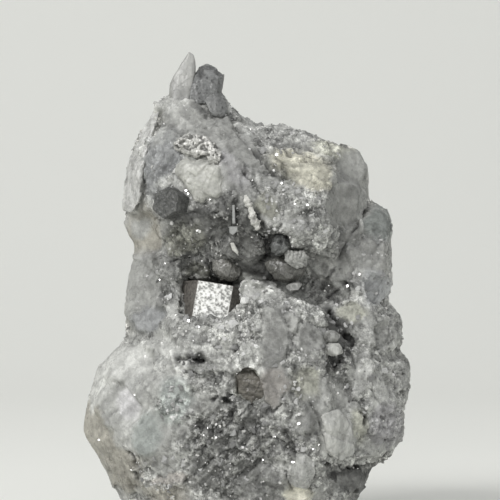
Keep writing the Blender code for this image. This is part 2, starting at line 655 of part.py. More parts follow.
rock = add_object("matrix_rock", thinned)
for obj in crystals:
    grown = swollen(obj.data, "socket_" + obj.name, GAP)
    boolean(rock, add_object("socket_" + obj.name, grown))
floor_cut = bpy.data.meshes.new("floor_cut")
bm = bmesh.new()
bmesh.ops.create_cube(bm, size=1.0)
bmesh.ops.scale(bm, vec=(0.2, 0.2, 0.05), verts=bm.verts[:])
bmesh.ops.translate(bm, vec=(0.0, 0.0, -0.025), verts=bm.verts[:])
bm.to_mesh(floor_cut)
bm.free()
boolean(rock, add_object("floor_cut", floor_cut))
final = evaluated(rock, "matrix_rock")
for obj in [o for o in bpy.data.objects
            if o.name.startswith("socket_") or o.name in ("floor_cut", "matrix_rock")]:
    bpy.data.objects.remove(obj, do_unlink=True)
keep_largest_island(final)
bm = bmesh.new()
bm.from_mesh(final)
bmesh.ops.dissolve_degenerate(bm, dist=0.004 * MM, edges=bm.edges[:])
bmesh.ops.triangulate(bm, faces=bm.faces[:])
bmesh.ops.recalc_face_normals(bm, faces=bm.faces[:])
bm.to_mesh(final)
bm.free()
add_object("matrix_rock", final, ROCK)

# Centre the base of the whole piece on the origin
bpy.context.view_layer.update()
corners = [v.co for o in bpy.data.objects if o.type == "MESH" for v in o.data.vertices]
low = Vector([min(c[i] for c in corners) for i in range(3)])
high = Vector([max(c[i] for c in corners) for i in range(3)])
shift = Vector((-(low.x + high.x) / 2, -(low.y + high.y) / 2, -low.z))
for obj in bpy.data.objects:
    obj.data.transform(Matrix.Translation(shift))
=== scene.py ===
import math

import bmesh
import bpy
import numpy as np
from mathutils import Matrix, Vector


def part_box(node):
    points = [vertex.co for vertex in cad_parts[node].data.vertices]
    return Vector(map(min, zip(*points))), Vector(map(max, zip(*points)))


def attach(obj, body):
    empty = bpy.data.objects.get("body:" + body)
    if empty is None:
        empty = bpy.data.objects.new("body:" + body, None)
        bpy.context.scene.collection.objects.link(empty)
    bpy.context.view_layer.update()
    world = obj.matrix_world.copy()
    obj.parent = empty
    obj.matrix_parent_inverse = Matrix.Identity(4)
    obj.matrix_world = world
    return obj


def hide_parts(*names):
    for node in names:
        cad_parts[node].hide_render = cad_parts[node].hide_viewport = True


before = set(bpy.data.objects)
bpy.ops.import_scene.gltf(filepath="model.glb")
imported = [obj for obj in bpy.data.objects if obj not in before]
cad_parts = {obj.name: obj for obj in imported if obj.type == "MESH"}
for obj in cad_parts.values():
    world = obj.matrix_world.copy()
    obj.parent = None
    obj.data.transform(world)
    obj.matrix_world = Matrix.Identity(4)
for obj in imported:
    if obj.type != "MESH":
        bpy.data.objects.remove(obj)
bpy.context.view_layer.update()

# ---------------------------------------------------------------------------------------
# Frame of the drawing
# ---------------------------------------------------------------------------------------
MM = 0.001
GRID = 0.15 * MM
CENTRE_U = 250.0
CENTRE_V = 250.0
BASE_V = 525.0
EYE = 350.0 * MM
EYE_Z = (BASE_V - CENTRE_V) * GRID


def at0(u, v, y):
    depth = y * MM
    k = (EYE + depth) / EYE
    return np.array(((u - CENTRE_U) * GRID * k, depth, EYE_Z + (CENTRE_V - v) * GRID * k))


# The part's frame is centred on its base: the small shift is read off a crystal of the part
# whose corners the drawing gives.
_low = np.min([at0(u, v, y) for u, v, y in
               [(232.2, 205, -13.1), (234.8, 205, -11.9), (232.4, 223.6, -13.4),
                (235.2, 223.6, -11.9), (232.4, 223.6, -11.9), (232.2, 205, -11.9),
                (234.8, 205, -13.1), (235.2, 223.6, -13.4)]], axis=0)
SHIFT = np.array(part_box("upright_blade_crystal")[0]) - _low


def at(u, v, y):
    return at0(u, v, y) + SHIFT


def drawing(p):
    """Column, row and depth (mm) of points p, the inverse of at()."""
    q = p - SHIFT
    k = (EYE + q[:, 1]) / EYE
    return (CENTRE_U + q[:, 0] / (GRID * k),
            CENTRE_V - (q[:, 2] - EYE_Z) / (GRID * k),
            q[:, 1] / MM)


# ---------------------------------------------------------------------------------------
# Noise
# ---------------------------------------------------------------------------------------
def _hash(ix, iy, iz, seed):
    n = (ix.astype(np.int64) * 73856093) ^ (iy.astype(np.int64) * 19349663) \
        ^ (iz.astype(np.int64) * 83492791) ^ (seed * 2654435761 & 0x7FFFFFFF)
    n = (n ^ (n >> 15)) & 0xFFFFFFFF
    n = (n * 2246822519) & 0xFFFFFFFF
    n = (n ^ (n >> 13)) & 0xFFFFFFFF
    n = (n * 3266489917) & 0xFFFFFFFF
    n = (n ^ (n >> 16)) & 0xFFFFFFFF
    return n.astype(np.float64) / 4294967296.0


def value_noise(p, size, seed=0):
    """Smooth noise from -1 to 1 at points p (n, 3), features about size across."""
    q = p / size
    i = np.floor(q).astype(np.int64)
    f = q - i
    f = f * f * f * (f * (f * 6.0 - 15.0) + 10.0)
    total = np.zeros(len(p))
    for dx in (0, 1):
        wx = f[:, 0] if dx else 1.0 - f[:, 0]
        for dy in (0, 1):
            wy = f[:, 1] if dy else 1.0 - f[:, 1]
            for dz in (0, 1):
                wz = f[:, 2] if dz else 1.0 - f[:, 2]
                total += wx * wy * wz * _hash(i[:, 0] + dx, i[:, 1] + dy, i[:, 2] + dz, seed)
    return total * 2.0 - 1.0


def fractal(p, size, seed=0, octaves=3, gain=0.5):
    total, amount, norm = np.zeros(len(p)), 1.0, 0.0
    for octave in range(octaves):
        total += amount * value_noise(p, size / 2 ** octave, seed + 17 * octave)
        norm += amount
        amount *= gain
    return total / norm


TURN = np.array(Matrix.Rotation(0.63, 3, "X") @ Matrix.Rotation(1.07, 3, "Y")
                @ Matrix.Rotation(0.41, 3, "Z"))


def cells(p, size, seed=0, squash=(1.0, 1.0, 1.0)):
    """Mineral grains: for points p the vector from the grain's heart, how far inside its
    border a point lies (0 on the border, in grain sizes) and four random numbers."""
    q = (p @ TURN) / (size * np.array(squash))
    base = np.floor(q).astype(np.int64)
    n = len(p)
    best = np.full(n, 1e9)
    second = np.full(n, 1e9)
    heart = np.zeros((n, 3))
    who = np.zeros((n, 3), np.int64)
    for dx in (-1, 0, 1):
        for dy in (-1, 0, 1):
            for dz in (-1, 0, 1):
                c = base + np.array((dx, dy, dz))
                h = np.stack([_hash(c[:, 0], c[:, 1], c[:, 2], seed * 7 + k)
                              for k in (1, 2, 3)], axis=1)
                point = c + 0.08 + 0.84 * h
                d = ((q - point) ** 2).sum(1)
                nearer = d < best
                second = np.where(nearer, best, np.minimum(second, d))
                best = np.where(nearer, d, best)
                heart[nearer] = point[nearer]
                who[nearer] = c[nearer]
    rnd = np.stack([_hash(who[:, 0], who[:, 1], who[:, 2], seed * 7 + k)
                    for k in (4, 5, 6, 7)], axis=1)
    inside = np.sqrt(second) - np.sqrt(best)
    return (q - heart) @ TURN.T, inside, rnd


def smooth(a, b, x):
    t = np.clip((x - a) / (b - a), 0.0, 1.0)
    return t * t * (3.0 - 2.0 * t)


# ---------------------------------------------------------------------------------------
# Fields and meshes
# ---------------------------------------------------------------------------------------
def hull_planes(points):
    """Outward unit normals and offsets of the planes around the points."""
    bm = bmesh.new()
    scale = 1000.0
    for p in points:
        bm.verts.new(Vector(p) * scale)
    bmesh.ops.convex_hull(bm, input=bm.verts[:], use_existing_faces=False)
    middle = sum((v.co for v in bm.verts), Vector()) / len(bm.verts)
    found = []
    for face in bm.faces:
        n = face.normal.copy()
        c = face.calc_center_median()
        if n.length < 0.5:
            continue
        if n.dot(c - middle) < 0:
            n = -n
        d = max(n.dot(w.co) for w in bm.verts) / scale
        if all((n - m).length > 0.03 or abs(d - e) > 2e-5 for m, e in found):
            found.append((n, d))
    bm.free()
    return np.array([tuple(n) for n, _ in found]), np.array([d for _, d in found])


def plane_field(axes, normals, offsets):
    """Distance-like field of the convex solid on the grid whose axes are given."""
    X, Y, Z = axes
    total = None
    for n, d in zip(normals, offsets):
        f = (n[0] * X - d)[:, None, None] + (n[1] * Y)[None, :, None] \
            + (n[2] * Z)[None, None, :]
        f = f.astype(np.float32)
        total = f if total is None else np.maximum(total, f)
    return total


def grid_axes(low, high, step):
    return [np.arange(low[i] - 3 * step, high[i] + 3 * step, step) for i in range(3)]


def blur(field, times=1):
    for _ in range(times):
        for axis in range(3):
            f = np.moveaxis(field, axis, 0)
            g = f.copy()
            g[1:-1] = 0.25 * f[:-2] + 0.5 * f[1:-1] + 0.25 * f[2:]
            field = np.moveaxis(g, 0, axis)
    return np.ascontiguousarray(field)


CORNERS = [(i, j, k) for i in (0, 1) for j in (0, 1) for k in (0, 1)]
EDGES = [(a, b) for a in range(8) for b in range(a + 1, 8)
         if sum(abs(CORNERS[a][i] - CORNERS[b][i]) for i in range(3)) == 1]


def net(axes, field):
    """Vertices (n, 3) and quads (m, 4) of the surface where the field is zero; quads face
    outwards, towards the positive side."""
    step = axes[0][1] - axes[0][0]
    origin = np.array([a[0] for a in axes])
    inside = field < 0
    nx, ny, nz = field.shape
    count = np.zeros((nx - 1, ny - 1, nz - 1), np.int8)
    for i, j, k in CORNERS:
        count += inside[i:nx - 1 + i, j:ny - 1 + j, k:nz - 1 + k]
    active = np.argwhere((count > 0) & (count < 8))
    number = np.full(count.shape, -1, np.int64)
    number[active[:, 0], active[:, 1], active[:, 2]] = np.arange(len(active))
    values = np.stack([field[active[:, 0] + i, active[:, 1] + j, active[:, 2] + k]
                       for i, j, k in CORNERS], axis=1).astype(np.float64)
    total = np.zeros((len(active), 3))
    hits = np.zeros(len(active))
    for a, b in EDGES:
        va, vb = values[:, a], values[:, b]
        cross = (va < 0) != (vb < 0)
        t = np.where(cross, va / np.where(va == vb, 1.0, va - vb), 0.0)
        pa, pb = np.array(CORNERS[a], float), np.array(CORNERS[b], float)
        total += np.where(cross[:, None], pa + t[:, None] * (pb - pa), 0.0)
        hits += cross
    points = origin + (active + total / hits[:, None]) * step
    quads = []
    for axis in range(3):
        o1, o2 = [(1, 2), (2, 0), (0, 1)][axis]
        lo = [slice(None)] * 3
        hi = [slice(None)] * 3
        lo[axis], hi[axis] = slice(0, -1), slice(1, None)
        for o in (o1, o2):
            lo[o] = hi[o] = slice(1, -1)
        a, b = inside[tuple(lo)], inside[tuple(hi)]
        idx = np.argwhere(a != b)
        leaving = a[idx[:, 0], idx[:, 1], idx[:, 2]]
        idx = idx.copy()
        idx[:, o1] += 1
        idx[:, o2] += 1
        corner = []
        for s1, s2 in ((0, 0), (-1, 0), (-1, -1), (0, -1)):
            c = idx.copy()
            c[:, o1] += s1
            c[:, o2] += s2
            corner.append(number[c[:, 0], c[:, 1], c[:, 2]])
        q = np.stack(corner, axis=1)
        q[~leaving] = q[~leaving][:, ::-1]
        quads.append(q)
    quads = np.concatenate(quads)
    return points, quads[(quads >= 0).all(1)]


def vertex_normals(points, quads):
    a, b, c, d = (points[quads[:, i]] for i in range(4))
    face = np.cross(c - a, d - b)
    normals = np.zeros_like(points)
    for i in range(4):
        np.add.at(normals, quads[:, i], face)
    return normals / np.maximum(np.linalg.norm(normals, axis=1, keepdims=True), 1e-20)


def neighbour_mean(values, quads):
    total = np.zeros_like(values)
    weight = np.zeros(len(values))
    for i, j in ((0, 1), (1, 2), (2, 3), (3, 0)):
        for s, t in ((i, j), (j, i)):
            np.add.at(total, quads[:, s], values[quads[:, t]])
            np.add.at(weight, quads[:, s], 1.0)
    weight = np.maximum(weight, 1.0)
    return total / (weight[:, None] if values.ndim > 1 else weight)


def biggest_body(points, quads):
    """Only the largest connected body."""
    label = np.arange(len(points))
    while True:
        low = label[quads].min(1)
        new = label.copy()
        for i in range(4):
            np.minimum.at(new, quads[:, i], low)
        new = new[new]
        if (new == label).all():
            break
        label = new
    names, counts = np.unique(label, return_counts=True)
    keep = label == names[counts.argmax()]
    index = np.cumsum(keep) - 1
    return points[keep], index[quads[keep[quads].all(1)]]


def mesh_object(name, points, quads, mats, colours=None, flags=None, flat=False):
    mesh = bpy.data.meshes.new(name)
    mesh.vertices.add(len(points))
    mesh.vertices.foreach_set("co", np.ascontiguousarray(points, np.float32).ravel())
    if isinstance(quads, list):
        loops = np.concatenate([np.array(q, np.int32) for q in quads])
        sizes = np.array([len(q) for q in quads])
        starts = np.concatenate([[0], np.cumsum(sizes)[:-1]]).astype(np.int32)
    else:
        loops = np.ascontiguousarray(quads, np.int32).ravel()
        starts = np.arange(0, quads.size, 4, dtype=np.int32)
    mesh.loops.add(len(loops))
    mesh.loops.foreach_set("vertex_index", loops)
    mesh.polygons.add(len(quads))
    mesh.polygons.foreach_set("loop_start", starts)
    mesh.update(calc_edges=True)
    mesh.polygons.foreach_set("use_smooth", np.full(len(quads), not flat))
    if colours is not None:
        layer = mesh.color_attributes.new("mineral", "FLOAT_COLOR", "POINT")
        rgba = np.ones((len(points), 4), np.float32)
        rgba[:, :3] = colours
        layer.data.foreach_set("color", rgba.ravel())
    if flags is not None:
        for key, value in flags.items():
            layer = mesh.attributes.new(key, "FLOAT", "POINT")
            layer.data.foreach_set("value", np.ascontiguousarray(value, np.float32))
    obj = bpy.data.objects.new(name, mesh)
    bpy.context.scene.collection.objects.link(obj)
    for mat in mats:
        mesh.materials.append(mat)
    return obj


# ---------------------------------------------------------------------------------------
# The rock's masses and hollows: corner points (column, row, y in mm) of convex solids
# ---------------------------------------------------------------------------------------
MASSES = {
    # upper block, left half: leans forward to a blunt nose over the cavity
    "upper_left": [
        (166, 101, 2), (153, 118, 1), (141, 138, 0), (131, 160, 1), (128, 185, 1),
        (125, 203, 1), (130, 227, 2), (139, 247, 3), (171, 98, 3), (214, 99, 3),
        (227, 121, 2), (243, 131, 2), (176, 112, -2.5), (214, 116, -3.5), (168, 150, -7.5),
        (205, 150, -9.5), (238, 158, -10.6), (238, 185, -12.6), (228, 211, -12.9),
        (262, 170, -10.9), (264, 200, -12.6), (180, 210, -10.0), (160, 200, -7.5),
        (160, 232, -5.4), (252, 230, -11.4), (262, 246, -10.0), (240, 256, -8.2),
        (200, 262, -5.6), (178, 262, -4.4), (150, 150, 11), (178, 112, 8), (235, 132, 13),
        (300, 150, 13), (142, 222, 9), (300, 262, 13), (175, 262, 11)],
    # upper block, right half: squared off, with a smooth side face on the right
    "upper_right": [
        (248, 129, 1), (268, 128.5, 0), (290, 130, 0), (307, 134.5, 0), (319, 140.5, 0),
        (336, 144.5, 1), (352, 148, 2), (359, 154, 3), (369, 168, 4), (367.5, 186, 4),
        (367, 204, 4), (362, 240, 5), (262, 150, -7.5), (300, 150, -7), (328, 157, -6.5),
        (258, 185, -12.0), (330, 190, -10.4), (326, 220, -11.6), (300, 233, -13.0),
        (264, 226, -12.8), (318, 250, -9.5), (280, 244, -11.2), (344, 262, -4.5),
        (345, 200, -6.0), (262, 140, 13), (345, 156, 12), (360, 178, 11), (352, 240, 14),
        (270, 262, 14)],
    # crown pedestal under the top crystals
    "crown_foot": [
        (167, 99, 2), (176, 93, 2), (196, 94, 2), (219, 97, 2), (225.5, 106, 2),
        (225, 113, 2), (180, 100, -2.2), (208, 102, -2.6), (221, 116, -2), (170, 120, -1),
        (170, 118, 6), (200, 101, 6), (218, 112, 5), (230, 130, 5), (235, 142, 8),
        (160, 140, 6)],
    # thin ridge that runs down from the crown to the right block
    "crown_ridge": [
        (223, 107, 1.5), (230.5, 121, 1), (240, 130, 1), (252, 130, 1), (227, 119, -3.5),
        (244, 139, -7.5), (236, 150, -9.4), (262, 148, -8), (228, 124, 5), (250, 136, 8),
        (262, 150, 9)],
    # pale rounded lump that stands at the right of the fluorapatite
    "lip_lump": [
        (243, 286, -9.8), (252, 284, -9.8), (262, 288, -10.4), (241, 296, -11.6),
        (246, 290, -12.2), (258, 292, -12.6), (240, 306, -12.6), (252, 308, -13.4),
        (244, 300, -8), (262, 300, -8), (264, 312, -12.6), (246, 316, -12.4)],
    # right shoulder, set back behind the upper block
    "shoulder": [
        (366, 206, 3), (377, 205, 3), (385, 209, 3), (390, 217, 4), (389.5, 240, 4),
        (387.5, 257, 4), (389.5, 277, 4), (387.5, 287, 4), (386, 303, 4), (356, 224, -4),
        (374, 218, -3.2), (381, 240, -4.4), (382, 275, -5.6), (376, 302, -6.8),
        (350, 290, -7.2), (344, 262, -5.5), (366, 212, 10), (380, 226, 11),
        (381, 292, 12), (345, 292, 15), (340, 220, 14)],
    # right flank under the shoulder, with a blunt corner near the top
    "flank_right": [
        (384, 300, 3), (391.5, 311.5, 3), (398, 314.5, 3), (401.5, 323, 3),
        (399, 331, 3), (400, 352, 3), (350, 300, -7.4), (378, 312, -6.2), (389, 320, -5),
        (388, 352, -6.4), (352, 345, -9.6), (372, 312, 12), (392, 328, 10),
        (386, 380, 12), (340, 380, -11), (345, 300, 14)],
    "elbow_right": [
        (400, 352, 2), (405, 357, 2), (413, 371.5, 1), (408.5, 388, 1), (403, 399, 2),
        (403, 429, 2), (399, 435, 2), (393, 441, 2), (391.5, 451, 2), (385.5, 459, 2),
        (375, 463, 1), (368, 352, -9), (394, 366, -6), (402, 376, -4.4), (391, 402, -7.6),
        (387, 430, -8.2), (370, 452, -9.2), (340, 460, -11), (345, 400, -12),
        (385, 360, 12), (400, 384, 8), (392, 430, 9), (376, 456, 9), (350, 462, 13)],
    # rock behind the fissure
    "fissure_wall": [
        (315, 300, -8.2), (362, 300, -6.8), (312, 352, -10.2), (366, 352, -8.2),
        (318, 410, -11.2), (368, 410, -9.6), (330, 455, -10.4), (372, 450, -8.4),
        (300, 300, 6), (372, 300, 6), (300, 455, 6), (372, 455, 6)],
    # set-back foot under the ledge at lower right
    "foot_right": [
        (372, 462, 2), (370, 476, 2), (364, 487, 2), (359, 494, 2), (351, 512, 2),
        (347, 534, 2), (338, 466, -8.6), (362, 468, -5.6), (346, 490, -7.4),
        (334, 512, -7.6), (330, 534, -7), (300, 534, -8), (300, 462, -9), (362, 480, 9),
        (350, 534, 8), (300, 534, 12), (320, 462, 13)],
    # bulging lower front, its top edge is the lip of the cavity
    "lower_front": [
        (246, 287, -10.6), (262, 284, -11.2), (284, 291, -11.8), (306, 306, -12.2),
        (322, 322, -11.6), (240, 302, -12.8), (226, 322, -12.2), (262, 340, -15.4),
        (292, 342, -15.2), (322, 372, -13.8), (286, 404, -16.0), (250, 398, -14.8),
        (212, 372, -13.4), (330, 410, -13.6), (330, 452, -13.0), (300, 474, -13.2),
        (244, 470, -11.6), (214, 440, -11.6), (244, 500, -10.2), (290, 534, -9.0),
        (240, 534, -8.8), (240, 292, -4), (330, 306, -5), (215, 330, 4), (345, 330, 6),
        (345, 500, 8), (200, 534, 6), (200, 420, 8)],
    # lower centre left, between the dome and the front bulge
    "lower_middle": [
        (168, 322, -8.2), (200, 322, -10.2), (232, 322, -12.0), (226, 372, -13.0),
        (192, 372, -12.4), (190, 420, -11.8), (226, 440, -11.4), (216, 500, -9.8),
        (170, 500, -8.6), (180, 534, -8), (250, 534, -8.4), (160, 340, 8),
        (240, 320, 8), (240, 534, 10), (165, 534, 6)],
    # smooth quartz dome at lower left
    "dome": [
        (131, 334, 1), (116, 349, 1), (105, 360, 1), (98, 367, 1), (94, 382, 1),
        (87.5, 405, 1), (84.5, 425, 1), (85, 432.5, 1), (93, 441, 1), (104, 456.5, 1),
        (112.5, 470.5, 1), (121.5, 485, 1), (126, 493, 1), (142, 534, 1),
        (150, 346, -7.6), (186, 342, -9.8), (118, 372, -5.4), (140, 372, -9.0),
        (106, 402, -4.2), (126, 404, -8.6), (158, 388, -11.6), (188, 382, -12.4),
        (124, 436, -8.0), (154, 436, -10.8), (186, 430, -12.0), (104, 438, -3.6),
        (136, 468, -6.6), (176, 476, -9.8), (152, 500, -7.4), (160, 534, -6.4),
        (118, 366, 7), (100, 404, 6), (104, 438, 6), (126, 480, 6), (150, 534, 6),
        (150, 345, 11), (210, 400, 11)],
    # smooth slab on the left flank, set back beside the cavity
    "slab_left": [
        (139, 250, 2), (134.5, 265, 2), (132, 278, 2), (130.5, 292, 2), (127.5, 314, 2),
        (127.5, 329, 2), (131, 340, 2), (158, 256, -4.4), (148, 290, -4.4),
        (146, 328, -5.2), (172, 262, -6.2), (176, 300, -7.6), (180, 336, -9.2),
        (148, 258, 10), (142, 324, 10), (190, 340, 12), (190, 256, 12)],
    # rock behind the cavity that ties the two halves together
    "waist": [
        (176, 246, -4.0), (200, 250, -4.0), (330, 250, -5.0), (356, 262, -3.6),
        (176, 300, -6.6), (200, 330, -6.4), (250, 300, -3.4), (345, 300, -6.0),
        (356, 340, -6.0), (180, 340, -6.0), (150, 240, 10), (150, 350, 11),
        (375, 240, 11), (380, 350, 12), (250, 240, 15), (260, 350, 16)],
    # back of the rock: three blunt masses with a saddle between them
    "back_upper": [
        (160, 150, 8), (240, 134, 10), (340, 156, 10), (362, 200, 10), (150, 230, 8),
        (180, 170, 14.5), (260, 155, 16), (330, 190, 15), (200, 240, 15.6),
        (310, 250, 17), (360, 270, 12)],
    "back_lower": [
        (120, 380, 5), (110, 430, 5), (150, 350, 10), (200, 330, 15), (160, 400, 13.5),
        (220, 380, 17.2), (310, 350, 17.6), (380, 350, 12), (398, 390, 8),
        (385, 440, 9), (340, 400, 16.4), (300, 450, 16.2), (180, 460, 13),
        (150, 500, 8), (340, 480, 12), (240, 500, 14.5)],
    "back_foot": [
        (142, 500, 4), (146, 534, 4), (350, 500, 6), (346, 534, 6), (170, 470, 12),
        (330, 470, 13), (190, 534, 11), (310, 534, 11.5)],
}

# Hollows cut out of the fused masses, each again a convex hull
HOLLOWS = {
    # pocket that the fluorapatite prism stands in
    "crystal_pocket": [
        (180, 283, -8.5), (184, 272, -9.5), (200, 262, -11), (240, 266, -14),
        (243, 285, -14), (242, 303, -14), (230, 314.5, -15), (190, 315, -14),
        (180, 308, -12), (184, 284, -2.6), (208, 264, -1.6), (244, 268, -2),
        (244, 304, -2.6), (190, 310, -2.6)],
    # slot under the overhang, from the pocket to the right
    "cavity_slot": [
        (232, 262, -14), (258, 274, -14), (300, 284, -14), (330, 300, -14),
        (240, 284, -14), (280, 288, -14), (312, 304, -14), (205, 264, -2),
        (300, 262, -4.4), (334, 284, -4.6), (236, 286, -3.4), (318, 304, -5.5)],
    # dark recess right of the grains
    "cavity_end": [
        (318, 286, -12), (346, 292, -10), (352, 300, -10), (330, 310, -13),
        (302, 296, -13), (304, 306, -14), (330, 290, -4.4), (346, 300, -4.8),
        (312, 302, -6)],
    # slot between the nose and the middle grain
    "nose_slot": [
        (262, 232, -16), (282, 230, -16), (294, 240, -15), (292, 254, -15),
        (270, 252, -15), (264, 236, -8.4), (288, 236, -8), (286, 252, -7.4)],
    # fissure down the right of the front
    "fissure_top": [
        (325, 309, -16), (338, 309, -14), (340, 326, -14), (327, 328, -16),
        (328, 311, -9), (337, 312, -8.4), (335, 326, -9)],
    "fissure_middle": [
        (337, 329, -16), (357, 332, -12), (354, 347, -13), (341, 349, -16),
        (341, 333, -8.4), (351, 335, -7.8), (347, 345, -8.2)],
    "fissure_low": [
        (324, 354, -18), (345, 354, -15), (341, 368, -16), (332, 368, -18),
        (329, 357, -10.6), (340, 357, -9.8), (335, 365, -10.4)],
    "fissure_crack": [
        (345.5, 384, -16), (351.5, 384, -16), (352, 402, -16), (347, 402, -16),
        (348, 387, -9.6), (350.5, 400, -9.8)],
    # notch in the front, left of the bulge
    "front_notch": [
        (178, 354, -18), (205, 356, -18), (216, 366, -18), (196, 370, -18),
        (184, 364, -18), (190, 360, -9.8), (208, 363, -10.4)],
    "front_pit": [
        (220, 393, -19), (238, 393, -19), (240, 404, -19), (224, 407, -19),
        (229, 399, -11.4)],
    "brown_recess": [
        (240, 372, -19), (262, 374, -19), (262, 400, -19), (243, 400, -19),
        (244, 376, -12.8), (259, 378, -13.4), (258, 397, -13.0), (246, 396, -12.6)],
    # undercut below the ledge at lower right
    "ledge_undercut": [
        (318, 470, -18), (372, 462, -14), (384, 464, -12), (376, 474, -12),
        (350, 478, -16), (326, 476, -18), (326, 471, -9.4), (366, 468, -6.4),
        (348, 476, -8)],
    # cleft behind the left edge of the upper block
    "side_cleft": [
        (128, 236, -8), (140, 252, -8), (150, 262, -8), (136, 258, -8),
        (134, 240, 0.5), (146, 256, 0), (140, 258, 1)],
}

# Broken rock inside the cavity, added after the hollows are cut
FILLS = {
    "floor_left": [
        (184, 262, -6.6), (213, 261, -7.2), (212, 279, -6.4), (194, 281, -5.8),
        (186, 262, -1.5), (212, 262, -1.5), (210, 280, -1.5), (194, 280, -1.5)],
    "floor_middle": [
        (240, 260, -7.6), (268, 263, -7.8), (271, 279, -6.6), (241, 279, -5.8),
        (240, 262, -2), (268, 264, -2), (270, 280, -2), (241, 279, -2)],
    "lip_top": [
        (238, 285, -10.8), (246, 278, -10.2), (262, 277.5, -10.6), (276, 281, -10.8),
        (284, 290, -11.6), (284, 302, -12.2), (240, 300, -12.6), (244, 283, -8),
        (274, 286, -8), (282, 302, -9), (240, 300, -9)],
    "floor_grain": [
        (206, 262, -6.2), (242, 262, -6.8), (242, 280, -5.6), (206, 280, -5.2),
        (206, 262, -1.5), (242, 262, -2), (242, 280, -1.5), (206, 280, -1.5)],
}

# ---------------------------------------------------------------------------------------
# Patches of the front: what the rock's skin is made of where, and painted shade in hollows, clefts
# and under overhangs, painted light on a few edges and tops.
# column, row, half width, half height, turn in degrees, softness of the edge (0 to 1),
# albedo, tint, ruggedness, gloss
# ---------------------------------------------------------------------------------------
NEUTRAL = (1.0, 1.005, 0.962)
WARM = (1.06, 1.03, 0.87)
BEIGE = (1.06, 1.015, 0.89)
BLUE = (0.975, 0.995, 1.0)
GREEN = (0.95, 1.01, 0.965)
LILAC = (1.0, 0.99, 0.995)
PINK = (1.05, 1.0, 0.94)
OLIVE = (1.02, 1.02, 0.89)

